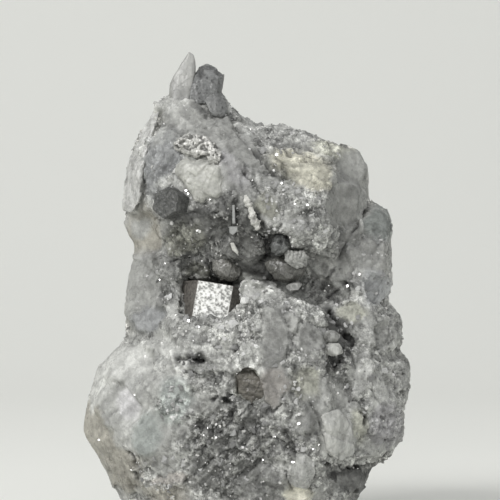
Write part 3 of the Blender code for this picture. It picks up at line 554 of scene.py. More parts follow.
PATCHES = [
    # broad fields first, small ones on top
    ("upper block", 240, 190, 130, 80, 0, 0.4, 0.34, NEUTRAL, 0.9, 0.35),
    ("lower body", 260, 390, 170, 100, 0, 0.4, 0.38, NEUTRAL, 1.0, 0.35),
    ("crown slope", 196, 122, 36, 20, 10, 0.5, 0.3, NEUTRAL, 0.5, 0.3),
    ("pedestal", 182, 100, 18, 8, 0, 0.5, 0.44, NEUTRAL, 0.8, 0.4),
    ("pale streak", 176, 112, 14, 6, 30, 0.5, 0.37, NEUTRAL, 0.8, 0.4),
    ("left field", 162, 165, 16, 34, 20, 0.5, 0.25, BLUE, 0.8, 0.4),
    ("speckled left", 170, 185, 12, 10, 0, 0.6, 0.42, NEUTRAL, 1.1, 0.6),
    ("lilac face", 232, 168, 20, 22, 0, 0.6, 0.31, LILAC, 0.7, 0.4),
    ("bluish slab", 245, 150, 26, 12, 38, 0.5, 0.27, NEUTRAL, 0.35, 0.3),
    ("right block top", 275, 140, 30, 12, 4, 0.5, 0.31, NEUTRAL, 1.2, 0.4),
    # dark hollow top and dark cleft: painted shade in the hollow and along the diagonal cleft
    ("dark hollow top", 278, 149, 10, 7, 0, 0.5, 0.20, NEUTRAL, 1.2, 0.3),
    ("dark cleft", 262, 160, 26, 3.0, 38, 0.6, 0.2, NEUTRAL, 1.0, 0.2),
    ("white field", 300, 163, 34, 14, 8, 0.5, 0.38, WARM, 1.0, 0.35),
    ("yellow field", 316, 178, 24, 15, 10, 0.4, 0.42, WARM, 1.1, 0.35),
    ("top rim", 335, 150, 24, 7, 12, 0.5, 0.42, OLIVE, 0.9, 0.3),
    ("side face", 349, 180, 17, 30, 0, 0.4, 0.33, NEUTRAL, 0.35, 0.3),
    ("side shade", 342, 205, 14, 22, 10, 0.5, 0.27, NEUTRAL, 0.6, 0.25),
    ("grained front", 288, 196, 28, 14, 0, 0.5, 0.38, NEUTRAL, 1.3, 0.7),
    ("grained low", 304, 222, 22, 22, 10, 0.5, 0.3, NEUTRAL, 1.3, 0.7),
    ("brown face", 268, 208, 12, 16, -15, 0.5, 0.30, OLIVE, 0.7, 0.3),
    ("pale base", 264, 226, 14, 8, 20, 0.5, 0.38, NEUTRAL, 1.0, 0.4),
    ("pale corner", 322, 240, 10, 16, 20, 0.6, 0.46, NEUTRAL, 1.1, 0.5),
    # nose underside, nose shade and under knob: painted shade under the overhanging nose and knob;
    # prism shade: painted shadow of the side prism
    ("nose underside", 214, 240, 58, 26, 0, 0.45, 0.155, NEUTRAL, 1.15, 0.5),
    ("nose shade", 236, 222, 22, 18, 0, 0.5, 0.16, NEUTRAL, 1.1, 0.4),
    ("prism shade", 194, 214, 22, 7, -15, 0.5, 0.09, NEUTRAL, 0.6, 0.3),
    ("under knob", 216, 206, 16, 7, 0, 0.5, 0.14, NEUTRAL, 0.7, 0.4),
    ("tan skin", 146, 234, 17, 28, -12, 0.45, 0.3, BEIGE, 0.3, 0.35),
    ("tan speckle", 140, 226, 8, 12, -20, 0.6, 0.34, NEUTRAL, 1.0, 0.6),
    ("nose tip", 262, 246, 18, 14, 20, 0.5, 0.20, NEUTRAL, 1.2, 0.6),
    # dark pocket and cavity: painted shade in the slot and the cavity under the nose
    ("dark pocket", 262, 234, 26, 9, 20, 0.6, 0.14, NEUTRAL, 1.1, 0.4),
    ("cavity", 238, 272, 50, 14, 6, 0.4, 0.105, NEUTRAL, 0.8, 0.4),
    ("cavity right", 304, 283, 30, 11, 20, 0.4, 0.23, NEUTRAL, 0.8, 0.4),
    ("cavity left", 182, 272, 22, 12, 0, 0.6, 0.2, NEUTRAL, 1.0, 0.5),
    ("left slab", 142, 292, 16, 42, 4, 0.35, 0.33, NEUTRAL, 0.22, 0.35),
    ("left slab low", 152, 318, 20, 12, -30, 0.5, 0.27, BLUE, 0.3, 0.35),
    ("beside pocket", 168, 290, 14, 24, 0, 0.5, 0.32, NEUTRAL, 1.0, 0.7),
    ("sill", 214, 322, 34, 7, 0, 0.6, 0.2, NEUTRAL, 1.2, 0.5),
    ("sill left", 178, 328, 20, 10, 10, 0.5, 0.31, NEUTRAL, 0.9, 0.6),
    ("lip lumps", 254, 293, 16, 11, 10, 0.4, 0.48, NEUTRAL, 0.9, 0.5),
    ("lip right", 290, 304, 26, 8, 24, 0.5, 0.4, NEUTRAL, 1.1, 0.5),
    ("white grains", 236, 335, 26, 22, 20, 0.45, 0.43, NEUTRAL, 1.3, 0.5),
    ("white grains low", 250, 352, 18, 16, 0, 0.5, 0.37, NEUTRAL, 1.2, 0.5),
    ("cleavage face", 274, 336, 13, 34, -4, 0.3, 0.245, NEUTRAL, 0.10, 0.35),
    ("pink face", 276, 386, 16, 22, 6, 0.35, 0.25, PINK, 0.12, 0.35),
    # notch: painted shade in the notch
    ("notch", 192, 360, 16, 6, 6, 0.4, 0.07, NEUTRAL, 1.1, 0.3),
    ("under notch", 208, 374, 18, 8, 0, 0.5, 0.25, NEUTRAL, 1.2, 0.5),
    ("notch rim", 182, 372, 5, 18, 20, 0.5, 0.62, NEUTRAL, 1.0, 0.5),
    ("dome white", 122, 376, 30, 30, -35, 0.4, 0.52, NEUTRAL, 0.16, 0.5),
    ("dome", 140, 410, 36, 44, 0, 0.4, 0.39, NEUTRAL, 0.28, 0.5),
    ("dome top", 158, 352, 30, 16, -25, 0.5, 0.38, NEUTRAL, 0.5, 0.5),
    ("dome grey", 147, 434, 15, 22, 10, 0.5, 0.33, GREEN, 0.25, 0.45),
    ("green grains", 172, 402, 18, 24, 10, 0.5, 0.36, GREEN, 1.2, 0.7),
    ("beige rim", 98, 432, 14, 36, -20, 0.35, 0.33, BEIGE, 0.2, 0.4),
    ("beige low", 124, 470, 16, 26, -35, 0.4, 0.29, BEIGE, 0.4, 0.4),
    ("low left", 165, 474, 30, 14, 0, 0.5, 0.34, NEUTRAL, 1.0, 0.6),
    ("low left pink", 172, 480, 24, 5, 0, 0.5, 0.34, PINK, 1.0, 0.5),
    # dark centre and dark centre low: dark grains, with painted shade where the lower front turns
    # in and down
    ("dark centre", 228, 440, 46, 34, 0, 0.5, 0.21, NEUTRAL, 1.3, 0.6),
    ("dark centre low", 236, 478, 44, 24, 0, 0.5, 0.18, NEUTRAL, 1.3, 0.6),
    ("grey band", 214, 408, 20, 12, 0, 0.6, 0.22, NEUTRAL, 1.2, 0.6),
    # pit: painted shade in the pit
    ("pit", 230, 400, 10, 6, 0, 0.4, 0.08, NEUTRAL, 1.0, 0.2),
    ("front right", 312, 360, 26, 34, 0, 0.5, 0.29, NEUTRAL, 0.9, 0.5),
    ("yellow grains", 305, 384, 16, 16, 0, 0.5, 0.35, OLIVE, 0.9, 0.45),
    # fissure and fissure top: painted shade in the fissure
    ("fissure", 340, 340, 14, 34, 14, 0.4, 0.09, NEUTRAL, 1.0, 0.4),
    ("fissure top", 331, 318, 9, 12, 0, 0.4, 0.10, NEUTRAL, 1.0, 0.4),
    ("right of fissure", 372, 330, 22, 26, 0, 0.5, 0.31, NEUTRAL, 0.9, 0.45),
    ("pale right", 366, 374, 18, 24, 0, 0.5, 0.4, NEUTRAL, 0.9, 0.5),
    ("yellow top right", 352, 312, 14, 10, 0, 0.5, 0.37, OLIVE, 1.0, 0.4),
    ("right edge", 398, 376, 10, 26, 0, 0.5, 0.33, NEUTRAL, 0.9, 0.4),
    ("right low", 386, 424, 18, 24, 0, 0.5, 0.30, LILAC, 1.0, 0.4),
    ("yellow vein", 358, 426, 8, 20, -14, 0.5, 0.38, OLIVE, 0.8, 0.4),
    ("quartz low", 336, 436, 20, 26, -14, 0.5, 0.48, NEUTRAL, 0.35, 0.5),
    ("low front", 300, 440, 28, 24, 0, 0.5, 0.225, NEUTRAL, 1.2, 0.6),
    ("low right", 322, 463, 18, 8, 0, 0.5, 0.45, NEUTRAL, 1.0, 0.5),
    # undercut and foot: painted shade under the ledge
    ("undercut", 352, 474, 26, 8, -4, 0.4, 0.07, NEUTRAL, 1.0, 0.3),
    ("foot", 354, 484, 18, 10, 0, 0.5, 0.17, NEUTRAL, 1.1, 0.4),
    ("cream block", 298, 494, 16, 9, 0, 0.4, 0.62, WARM, 0.6, 0.4),
    ("shoulder", 378, 226, 14, 20, 0, 0.5, 0.22, GREEN, 0.6, 0.35),
    ("shoulder mid", 366, 256, 22, 24, 0, 0.5, 0.26, NEUTRAL, 0.9, 0.45),
    ("shoulder low", 374, 288, 14, 18, 0, 0.5, 0.33, BLUE, 0.9, 0.5),
    ("lip crest", 248, 283, 14, 8, 0, 0.4, 0.5, NEUTRAL, 0.9, 0.5),
    ("dome upper", 128, 362, 26, 14, -38, 0.45, 0.5, NEUTRAL, 0.2, 0.5),
    # dome gleam: painted highlight on the glassy dome
    ("dome gleam", 126, 404, 11, 15, 0, 0.5, 0.60, LILAC, 0.4, 0.6),
    ("nose grit", 186, 238, 20, 16, 0, 0.5, 0.20, OLIVE, 1.2, 0.6),
    ("beside knob", 232, 190, 9, 12, 0, 0.5, 0.20, NEUTRAL, 0.9, 0.5),
    # under crown foot: painted shade under the crown's foot
    ("under crown foot", 226, 120, 14, 6, 45, 0.5, 0.28, NEUTRAL, 0.8, 0.3),
    ("crown side", 208, 110, 16, 7, 20, 0.5, 0.22, NEUTRAL, 0.6, 0.3),
    ("brown recess", 248, 385, 15, 15, 0, 0.35, 0.12, OLIVE, 0.5, 0.35),
    ("around knob", 203, 180, 24, 26, 0, 0.45, 0.42, NEUTRAL, 0.7, 0.4),
    ("quartz above", 330, 440, 12, 22, -10, 0.45, 0.50, NEUTRAL, 0.4, 0.5),
    ("dark seam low", 268, 456, 8, 18, 30, 0.5, 0.20, NEUTRAL, 1.1, 0.5),
    ("speckled left body", 158, 276, 16, 20, 0, 0.5, 0.26, NEUTRAL, 0.9, 0.7),
    # cavity floor left: painted shade in the cavity
    ("cavity floor left", 198, 271, 16, 8, 0, 0.5, 0.11, OLIVE, 1.1, 0.5),
    ("slab corner", 352, 232, 8, 10, 20, 0.5, 0.22, NEUTRAL, 0.8, 0.4),
    ("mid right dark", 310, 416, 14, 26, 0, 0.5, 0.23, NEUTRAL, 1.0, 0.5),
    ("seam centre", 270, 418, 11, 10, 0, 0.5, 0.21, NEUTRAL, 1.1, 0.5),
    # low centre: painted shade where the lower front turns in and down
    ("low centre", 268, 482, 16, 12, 0, 0.5, 0.16, NEUTRAL, 1.0, 0.5),
    # beside upright blade: painted shade under the knob
    ("beside upright blade", 230, 200, 11, 10, 0, 0.5, 0.12, NEUTRAL, 0.9, 0.5),
    ("above notch", 194, 340, 20, 9, 0, 0.5, 0.26, NEUTRAL, 0.9, 0.5),
    ("front block", 308, 339, 11, 10, 0, 0.5, 0.2, NEUTRAL, 0.9, 0.5),
    ("left shade", 163, 258, 14, 11, 0, 0.5, 0.18, NEUTRAL, 0.8, 0.5),
    # ledge top: pale rock, with painted light on the top of the ledge
    ("ledge top", 350, 458, 13, 5, -4, 0.5, 0.66, NEUTRAL, 0.9, 0.5),
    # dome edge: pale quartz with a painted highlight along the dome's upper left edge
    ("dome edge", 99, 388, 10, 26, 18, 0.5, 0.60, NEUTRAL, 0.2, 0.5),
    ("right edge pale", 392, 357, 9, 10, 0, 0.5, 0.54, NEUTRAL, 0.9, 0.5),
    # right of prism: grey rock, lighter in part as a painted glint for the sparkles there
    ("right of prism", 189, 197, 8, 6, 0, 0.5, 0.48, NEUTRAL, 0.9, 0.6),
    ("face foot", 270, 361, 9, 9, 0, 0.5, 0.17, NEUTRAL, 0.5, 0.4),
    # low rim: painted shade where the lower front turns in and down
    ("low rim", 264, 499, 12, 8, 0, 0.5, 0.17, NEUTRAL, 1.0, 0.4),
    ("lip seam", 269, 302, 9, 7, 0, 0.5, 0.30, NEUTRAL, 1.0, 0.5),
    ("sill right", 230, 319, 10, 7, 0, 0.5, 0.28, NEUTRAL, 1.1, 0.5),
    ("under lip", 279, 320, 14, 6, 10, 0.5, 0.28, NEUTRAL, 1.0, 0.5),
    ("below yellow", 289, 401, 9, 9, 0, 0.5, 0.25, NEUTRAL, 1.0, 0.5),
    ("slab crest", 250, 121, 9, 7, 38, 0.5, 0.40, NEUTRAL, 0.6, 0.4),
    ("pale right low", 370, 400, 10, 10, 0, 0.5, 0.43, NEUTRAL, 0.9, 0.5),
    # nose low left: painted shade in the cavity under the nose
    ("nose low left", 210, 260, 9, 7, 0, 0.5, 0.11, NEUTRAL, 1.0, 0.5),
    # shoulder crease: painted shade in the crease between the side face and the shoulder
    ("shoulder crease", 346, 240, 7, 26, 12, 0.6, 0.20, NEUTRAL, 0.9, 0.3),
]


def smin(a, b, k):
    h = np.clip(0.5 + 0.5 * (b - a) / k, 0.0, 1.0)
    return b + (a - b) * h - k * h * (1.0 - h)


def rock_field(step):
    corner = 0.30 * MM
    points = {name: [at(*c) for c in corners] for name, corners in MASSES.items()}
    every = np.array([p for ps in points.values() for p in ps])
    low, high = every.min(0) - 2 * MM, every.max(0) + 2 * MM
    low[2] = -0.6 * MM
    axes = grid_axes(low, high, step)
    field = np.full([len(a) for a in axes], 4 * MM, np.float32)

    def window(ps, margin):
        ps = np.array(ps)
        lo, hi = ps.min(0) - margin, ps.max(0) + margin
        cut = tuple(slice(max(0, int(np.searchsorted(a, lo[i])) - 1),
                          min(len(a), int(np.searchsorted(a, hi[i])) + 1))
                    for i, a in enumerate(axes))
        return cut, [a[c] for a, c in zip(axes, cut)]

    for name, ps in points.items():
        middle = np.mean(ps, axis=0)
        ps = [p + (p - middle) / np.linalg.norm(p - middle) * corner for p in ps]
        n, d = hull_planes(ps)
        cut, sub = window(ps, 3 * MM)
        f = plane_field(sub, n, d)
        field[cut] = smin(field[cut], np.minimum(f, 4 * MM), 0.9 * MM)
    field = blur(field, 1)
    for name, corners in HOLLOWS.items():
        ps = [at(*c) for c in corners]
        n, d = hull_planes(ps)
        cut, sub = window(ps, 1.5 * MM)
        f = plane_field(sub, n, d)
        field[cut] = -smin(-field[cut], f, 0.7 * MM)
    for name, corners in FILLS.items():
        ps = [at(*c) for c in corners]
        n, d = hull_planes(ps)
        cut, sub = window(ps, 1.5 * MM)
        field[cut] = smin(field[cut], plane_field(sub, n, d), 0.6 * MM)
    field = blur(field, 1)
    Z = axes[2][None, None, :]
    field = np.maximum(field, (-Z).astype(np.float32))
    return axes, field


# ---------------------------------------------------------------------------------------
# Flat cleavage faces: column, row, half width, half height, turn, outward x and z of the
# face, how far it stands out (mm), ruggedness left on it
# ---------------------------------------------------------------------------------------
FACES = [
    (185, 118, 22, 16, 18, -0.20, 0.30, 0.10, 0.35),
    (165, 150, 13, 26, 22, -0.30, 0.16, 0.00, 0.45),
    (160, 180, 12, 14, 0, -0.34, 0.02, 0.00, 0.6),
    (228, 138, 20, 12, 40, 0.05, 0.42, 0.10, 0.3),
    (246, 152, 22, 9, 40, 0.10, 0.34, 0.10, 0.14),
    (236, 176, 16, 16, 20, -0.05, 0.02, 0.00, 0.6),
    (352, 165, 14, 18, 4, 0.52, 0.12, 0.10, 0.16),
    (346, 205, 16, 24, 8, 0.50, -0.18, 0.00, 0.22),
    (352, 240, 12, 16, 18, 0.42, -0.10, 0.00, 0.5),
    (300, 146, 26, 8, 10, 0.02, 0.55, 0.10, 0.7),
    (310, 176, 24, 12, 10, -0.02, 0.24, 0.05, 0.5),
    (272, 166, 14, 9, 24, 0.02, 0.34, 0.45, 0.7),
    (270, 208, 12, 15, -16, 0.16, 0.04, 0.10, 0.35),
    (293, 206, 15, 16, 0, 0.02, 0.05, 0.15, 0.9),
    (144, 236, 15, 24, -14, -0.46, -0.06, 0.10, 0.16),
    (206, 232, 26, 13, -6, 0.00, -0.52, 0.00, 0.80),
    (190, 248, 22, 9, 4, -0.05, -0.62, 0.00, 0.8),
    (244, 248, 18, 9, 16, 0.10, -0.40, 0.20, 0.7),
    (142, 290, 14, 36, 5, -0.36, 0.10, 0.10, 0.12),
    (150, 318, 15, 10, -34, -0.40, 0.30, 0.25, 0.2),
    (170, 284, 9, 18, 10, 0.30, -0.05, 0.00, 0.8),
    (376, 224, 12, 16, 0, 0.22, 0.16, 0.10, 0.3),
    (372, 256, 15, 16, -10, 0.16, 0.06, 0.15, 0.4),
    (378, 290, 12, 14, 0, 0.24, 0.12, 0.10, 0.5),
    (348, 262, 10, 18, 22, -0.22, 0.02, 0.00, 0.5),
    (252, 288, 13, 8, 0, -0.10, 0.36, 0.35, 0.7),
    (274, 330, 12, 24, -3, -0.10, 0.10, 0.15, 0.35),
    (274, 386, 12, 17, 12, 0.02, -0.02, 0.20, 0.30),
    (248, 384, 13, 13, 0, 0.12, -0.20, -0.45, 0.30),
    (293, 322, 4.5, 9, -6, 0.05, 0.20, 0.40, 0.1),
    (306, 340, 15, 16, 0, 0.10, 0.18, 0.10, 0.6),
    (238, 336, 18, 14, 20, -0.18, 0.16, 0.30, 1.2),
    (190, 340, 14, 9, 0, -0.12, 0.34, 0.10, 0.7),
    (196, 374, 17, 9, 4, -0.05, -0.20, -0.30, 0.7),
    (130, 368, 24, 18, -40, -0.34, 0.44, 0.20, 0.10),
    (118, 408, 20, 22, -30, -0.40, 0.16, 0.15, 0.12),
    (150, 434, 15, 22, 10, -0.14, 0.02, 0.15, 0.08),
    (178, 402, 15, 18, 14, 0.10, 0.10, 0.00, 1.0),
    (222, 428, 16, 12, -34, -0.05, 0.10, 0.15, 1.2),
    (206, 458, 22, 10, -32, -0.14, -0.16, 0.15, 1.2),
    (252, 448, 13, 16, -30, 0.22, -0.12, 0.10, 1.2),
    (300, 424, 12, 12, 20, -0.10, 0.16, 0.25, 0.7),
    (272, 470, 13, 14, -30, -0.12, 0.06, 0.20, 0.9),
    (362, 372, 13, 20, 0, -0.10, 0.14, 0.20, 0.45),
    (388, 336, 10, 14, 0, 0.34, 0.20, 0.10, 0.6),
    (396, 376, 9, 18, 0, 0.46, -0.02, 0.10, 0.6),
    (382, 420, 14, 18, 0, 0.30, -0.10, 0.10, 0.7),
    (364, 342, 11, 12, 10, 0.04, 0.24, 0.20, 0.6),
    (352, 480, 15, 11, -18, 0.25, -0.30, -0.10, 0.3),
    (298, 494, 13, 7, 0, -0.10, 0.30, 0.25, 0.3),
    (372, 448, 16, 9, -10, 0.20, -0.02, 0.20, 0.5),
]

# ---------------------------------------------------------------------------------------
# Cracks and ridges drawn on the front: half width (columns), depth (mm, negative stands
# out), factor on the albedo, points. The factor darkens the carved cracks and gaps, painted
# shade in them, and lightens the raised ridges, painted light on their crests.
# ---------------------------------------------------------------------------------------
LINES = [
    (2.2, 0.8, 0.45, [(224, 112), (232, 121), (241, 130)]),
    (1.2, 0.4, 0.50, [(238, 134), (248, 147), (262, 162), (272, 172), (284, 181)]),
    (1.2, 0.5, 0.45, [(244, 168), (252, 180), (263, 196)]),
    (0.9, 0.3, 0.60, [(266, 171), (282, 177), (298, 180)]),
    (1.0, 0.35, 0.60, [(250, 137), (270, 141), (290, 139)]),
    (1.2, 0.35, 0.60, [(270, 147), (284, 150), (292, 158)]),
    (0.8, 0.25, 0.65, [(292, 148), (312, 150), (330, 156)]),
    (0.8, 0.25, 0.70, [(300, 163), (322, 162), (342, 168)]),
    (0.8, 0.25, 0.70, [(262, 152), (272, 160), (290, 166)]),
    (1.0, -0.25, 1.30, [(172, 95), (184, 99), (198, 104), (207, 108)]),
    (0.8, -0.20, 1.30, [(176, 92), (188, 104), (200, 118)]),
    (0.8, 0.20, 0.70, [(200, 112), (214, 124), (222, 134)]),
    (2.0, -0.90, 1.80, [(163, 106), (158, 121), (150, 145), (143, 167), (140, 190)]),
    (1.0, 0.40, 0.50, [(342, 158), (339, 184), (329, 199), (326, 226), (329, 254)]),
    (1.4, 0.50, 0.50, [(369, 204), (360, 216), (348, 240), (334, 268), (322, 288)]),
    (1.0, 0.40, 0.60, [(150, 219), (165, 221), (178, 214), (196, 214)]),
    (1.2, 0.55, 0.40, [(170, 260), (186, 258), (200, 256), (210, 262), (216, 270)]),
    (0.9, 0.30, 0.60, [(218, 222), (230, 236), (246, 243), (262, 248)]),
    (1.0, 0.35, 0.55, [(212, 214), (226, 210), (240, 216)]),
    (1.6, 0.60, 0.35, [(252, 232), (264, 238), (272, 247), (266, 258)]),
    (1.8, 0.60, 0.30, [(181, 313), (180.5, 296), (190, 282), (214, 280), (231, 284),
                       (236, 296), (240, 300)]),
    (1.5, -0.35, 1.25, [(238, 284), (248, 278), (262, 280), (270, 290), (286, 296)]),
    (1.0, 0.40, 0.60, [(244, 296), (254, 300), (262, 308)]),
    (0.8, 0.30, 0.70, [(262, 306), (260, 330), (262, 352), (259, 368)]),
    (0.9, 0.35, 0.60, [(288, 308), (291, 330), (287, 352), (290, 376), (282, 404)]),
    (1.3, 0.50, 0.45, [(283, 404), (274, 412), (266, 408), (262, 396)]),
    (1.2, -0.40, 1.35, [(262, 356), (264, 372), (262, 388), (266, 404)]),
    (1.5, 0.70, 0.30, [(178, 360), (190, 359), (204, 362)]),
    (1.2, 0.45, 0.50, [(182, 372), (196, 374), (214, 380)]),
    (2.0, -0.55, 1.75, [(173, 352), (176, 366), (181, 380), (190, 392)]),
    (1.5, -0.35, 1.45, [(223, 376), (230, 368), (244, 365), (258, 368)]),
    (1.8, 0.9, 0.30, [(361, 411), (366, 418), (364, 425), (368, 431)]),
    (1.2, 0.5, 0.45, [(206, 264), (212, 272), (211, 281)]),
    (2.0, 0.80, 0.30, [(213, 400), (220, 397), (228, 402)]),
    (1.0, 0.40, 0.50, [(206, 386), (218, 392), (232, 396), (242, 400)]),
    (0.9, -0.25, 1.20, [(101, 366), (106, 361), (113, 359)]),
    (1.1, 0.20, 0.80, [(104, 368), (110, 364)]),
    (0.8, 0.18, 0.80, [(96, 402), (106, 410), (112, 424), (118, 440), (128, 452)]),
    (0.7, -0.15, 1.15, [(120, 440), (130, 432), (140, 416)]),
    (0.8, 0.20, 0.75, [(160, 384), (150, 404), (140, 424)]),
    (2.0, 1.5, 0.10, [(131, 453), (134, 458)]),
    (1.8, 1.3, 0.12, [(133, 463), (135, 466)]),
    (2.2, 1.4, 0.12, [(134, 472), (138, 475)]),
    (1.2, 0.5, 0.50, [(128, 452), (136, 462), (140, 474), (134, 488)]),
    (1.2, 0.5, 0.50, [(252, 404), (238, 418), (222, 430), (206, 446)]),
    (1.0, 0.4, 0.50, [(262, 424), (246, 442), (232, 456), (214, 468)]),
    (1.2, 0.5, 0.45, [(270, 446), (254, 462), (238, 474), (222, 488)]),
    (1.0, 0.4, 0.55, [(220, 412), (206, 424), (196, 440)]),
    (1.0, 0.5, 0.50, [(230, 448), (214, 458), (198, 472), (184, 482)]),
    (1.0, -0.35, 1.30, [(240, 426), (228, 438), (214, 446)]),
    (1.0, -0.35, 1.30, [(212, 470), (200, 480), (186, 488)]),
    (1.1, 0.45, 0.50, [(262, 438), (274, 436), (286, 444)]),
    (1.2, 0.5, 0.45, [(284, 430), (292, 444), (296, 456)]),
    (1.2, 0.5, 0.45, [(310, 402), (318, 414), (322, 430), (330, 446), (332, 462)]),
    (1.2, 0.6, 0.35, [(347, 384), (349, 392), (350, 401)]),
    (0.9, 0.4, 0.50, [(344, 366), (348, 376), (347, 384)]),
    (2.4, 1.0, 0.25, [(330, 312), (334, 318), (338, 324), (343, 330)]),
    (2.4, 1.0, 0.22, [(342, 333), (350, 338), (354, 344)]),
    (2.6, 1.0, 0.22, [(331, 360), (335, 364), (340, 362)]),
    (1.2, 0.5, 0.50, [(344, 348), (352, 356), (356, 368)]),
    (1.0, 0.5, 0.50, [(372, 310), (378, 322), (380, 338), (376, 346)]),
    (1.0, 0.4, 0.55, [(376, 346), (386, 356), (392, 370)]),
    (1.0, 0.4, 0.55, [(372, 392), (380, 404), (394, 408)]),
    (1.2, 0.5, 0.45, [(358, 404), (366, 412), (370, 426), (366, 438)]),
    (2.2, 1.3, 0.15, [(328, 465), (340, 467), (352, 468), (371, 464), (384, 461)]),
    (1.3, -0.5, 1.30, [(330, 462), (346, 464), (360, 463), (376, 460)]),
    (1.2, 0.5, 0.45, [(284, 462), (286, 476), (292, 490)]),
    (1.2, 0.6, 0.40, [(314, 466), (317, 478), (310, 490)]),
    (1.0, -0.3, 1.25, [(288, 306), (298, 304), (310, 300), (322, 298)]),
    (1.0, 0.4, 0.50, [(296, 310), (300, 322), (298, 334), (291, 334)]),
    (1.3, 0.6, 0.40, [(344, 284), (336, 292), (322, 298), (312, 296)]),
    (1.3, 0.5, 0.45, [(338, 282), (350, 284), (356, 290)]),
]

# Growth and foliation streaks: column, row, half width, half height, direction in degrees
# (0 along the row, positive turning down), spacing (mm), height (mm), share of colour
STREAKS = [
    (295, 152, 56, 26, 10, 0.50, 0.22, 0.28),
    (140, 160, 20, 56, 106, 0.45, 0.16, 0.20),
    (126, 392, 46, 46, 130, 0.85, 0.08, 0.34),
    (232, 446, 56, 48, 138, 0.55, 0.30, 0.40),
    (206, 368, 30, 14, 8, 0.45, 0.20, 0.30),
    (380, 250, 20, 44, 128, 0.60, 0.12, 0.22),
    (142, 296, 16, 36, 112, 0.80, 0.06, 0.16),
    (242, 384, 22, 12, -6, 0.50, 0.10, 0.16),
    (348, 190, 18, 36, 100, 0.70, 0.07, 0.12),
    (336, 436, 20, 26, 64, 0.60, 0.12, 0.20),
    (200, 120, 30, 16, 40, 0.50, 0.10, 0.16),
]


def near_line(u, v, points):
    """Distance in columns to a drawn line."""
    best = np.full(len(u), 1e9)
    for (u0, v0), (u1, v1) in zip(points[:-1], points[1:]):
        du, dv = u1 - u0, v1 - v0
        t = np.clip(((u - u0) * du + (v - v0) * dv) / (du * du + dv * dv), 0.0, 1.0)
        best = np.minimum(best, np.hypot(u - u0 - t * du, v - v0 - t * dv))
    return best


def chips(p, size, seed, tilt, bow=0.12, offset=0.5, squash=(1.0, 1.0, 1.0)):
    """Broken surface: every cell a tilted, slightly hollow flat; the lowest one shows, so
    that the flats meet in sharp ridges.  In units of size."""
    q = (p @ TURN.T) / (size * np.array(squash))
    base = np.floor(q).astype(np.int64)
    lowest = np.full(len(p), 1e9)
    for dx in (-1, 0, 1):
        for dy in (-1, 0, 1):
            for dz in (-1, 0, 1):
                c = base + np.array((dx, dy, dz))
                h = np.stack([_hash(c[:, 0], c[:, 1], c[:, 2], seed * 7 + k)
                              for k in range(1, 8)], axis=1)
                away = q - (c + 0.1 + 0.8 * h[:, :3])
                lean = (h[:, 3:6] - 0.5) * 2.0 * tilt
                value = (lean * away).sum(1) + bow * (away ** 2).sum(1) \
                    + offset * (h[:, 6] - 0.5)
                lowest = np.minimum(lowest, value)
    return lowest - lowest.mean()


def refine(points, quads, chosen):
    """Splits the chosen quads in four; their neighbours take up the new edge points."""
    edges = np.stack([quads, np.roll(quads, -1, axis=1)], axis=2)
    key = np.sort(edges, axis=2)
    code = key[:, :, 0] * np.int64(len(points)) + key[:, :, 1]
    wanted = np.unique(code[chosen])
    index = np.searchsorted(wanted, code)
    index[index == len(wanted)] = 0
    has = wanted[index] == code
    a, b = wanted // len(points), wanted % len(points)
    mids = 0.5 * (points[a] + points[b])
    centres = points[quads[chosen]].mean(1)
    n = len(points)
    everything = np.concatenate([points, mids, centres])
    mid = n + index
    middle = n + len(mids) + np.arange(int(chosen.sum()))
    q, m = quads[chosen], mid[chosen]
    small = [np.stack([q[:, i], m[:, i], middle, m[:, i - 1]], axis=1) for i in range(4)]
    polygons = np.concatenate(small).tolist()
    rest = ~chosen
    plain = rest & ~has.any(1)
    polygons += quads[plain].tolist()
    for face, mids_here, flags in zip(quads[rest & has.any(1)].tolist(),
                                      mid[rest & has.any(1)].tolist(),
                                      has[rest & has.any(1)].tolist()):
        ring = []
        for i in range(4):
            ring.append(face[i])
            if flags[i]:
                ring.append(mids_here[i])
        polygons.append(ring)
    # normals only need the corner and centre fans
    return everything, polygons


def zones(points):
    """Albedo and tint, ruggedness and gloss of the rock's skin at the points."""
    n = len(points)
    u, v, y = drawing(points)
    wob_u = 7.0 * fractal(points, 2.2 * MM, 5, 4)
    wob_v = 7.0 * fractal(points, 2.2 * MM, 6, 4)
    u, v = u + wob_u, v + wob_v
    big = fractal(points, 11 * MM, 31, 3)
    mid = fractal(points, 4.5 * MM, 41, 3)
    albedo = 0.36 + 0.16 * big + 0.14 * mid
    tint = np.ones((n, 3)) * np.array(NEUTRAL)
    warm = smooth(0.1, 0.6, fractal(points, 13 * MM, 77, 2))[:, None]
    tint = tint * (1 - warm) + np.array(BEIGE) * warm
    rugged = 0.85 + 0.5 * mid
    gloss = 0.4 + 0.2 * big
    front = smooth(6.0, 2.0, y)
    for _, pu, pv, ru, rv, turn, edge, a, t, r, g in PATCHES:
        c, s = math.cos(math.radians(turn)), math.sin(math.radians(turn))
        du, dv = (u - pu), (v - pv)
        e = np.sqrt(((du * c + dv * s) / ru) ** 2 + ((-du * s + dv * c) / rv) ** 2)
        w = front * smooth(1.0 + 0.5 * edge, 1.0 - 0.7 * edge, e)
        albedo = albedo * (1 - w) + a * w
        rugged = rugged * (1 - w) + r * w
        gloss = gloss * (1 - w) + g * w
        tint = tint * (1 - w[:, None]) + np.array(t) * w[:, None]
    return albedo, tint, rugged, gloss


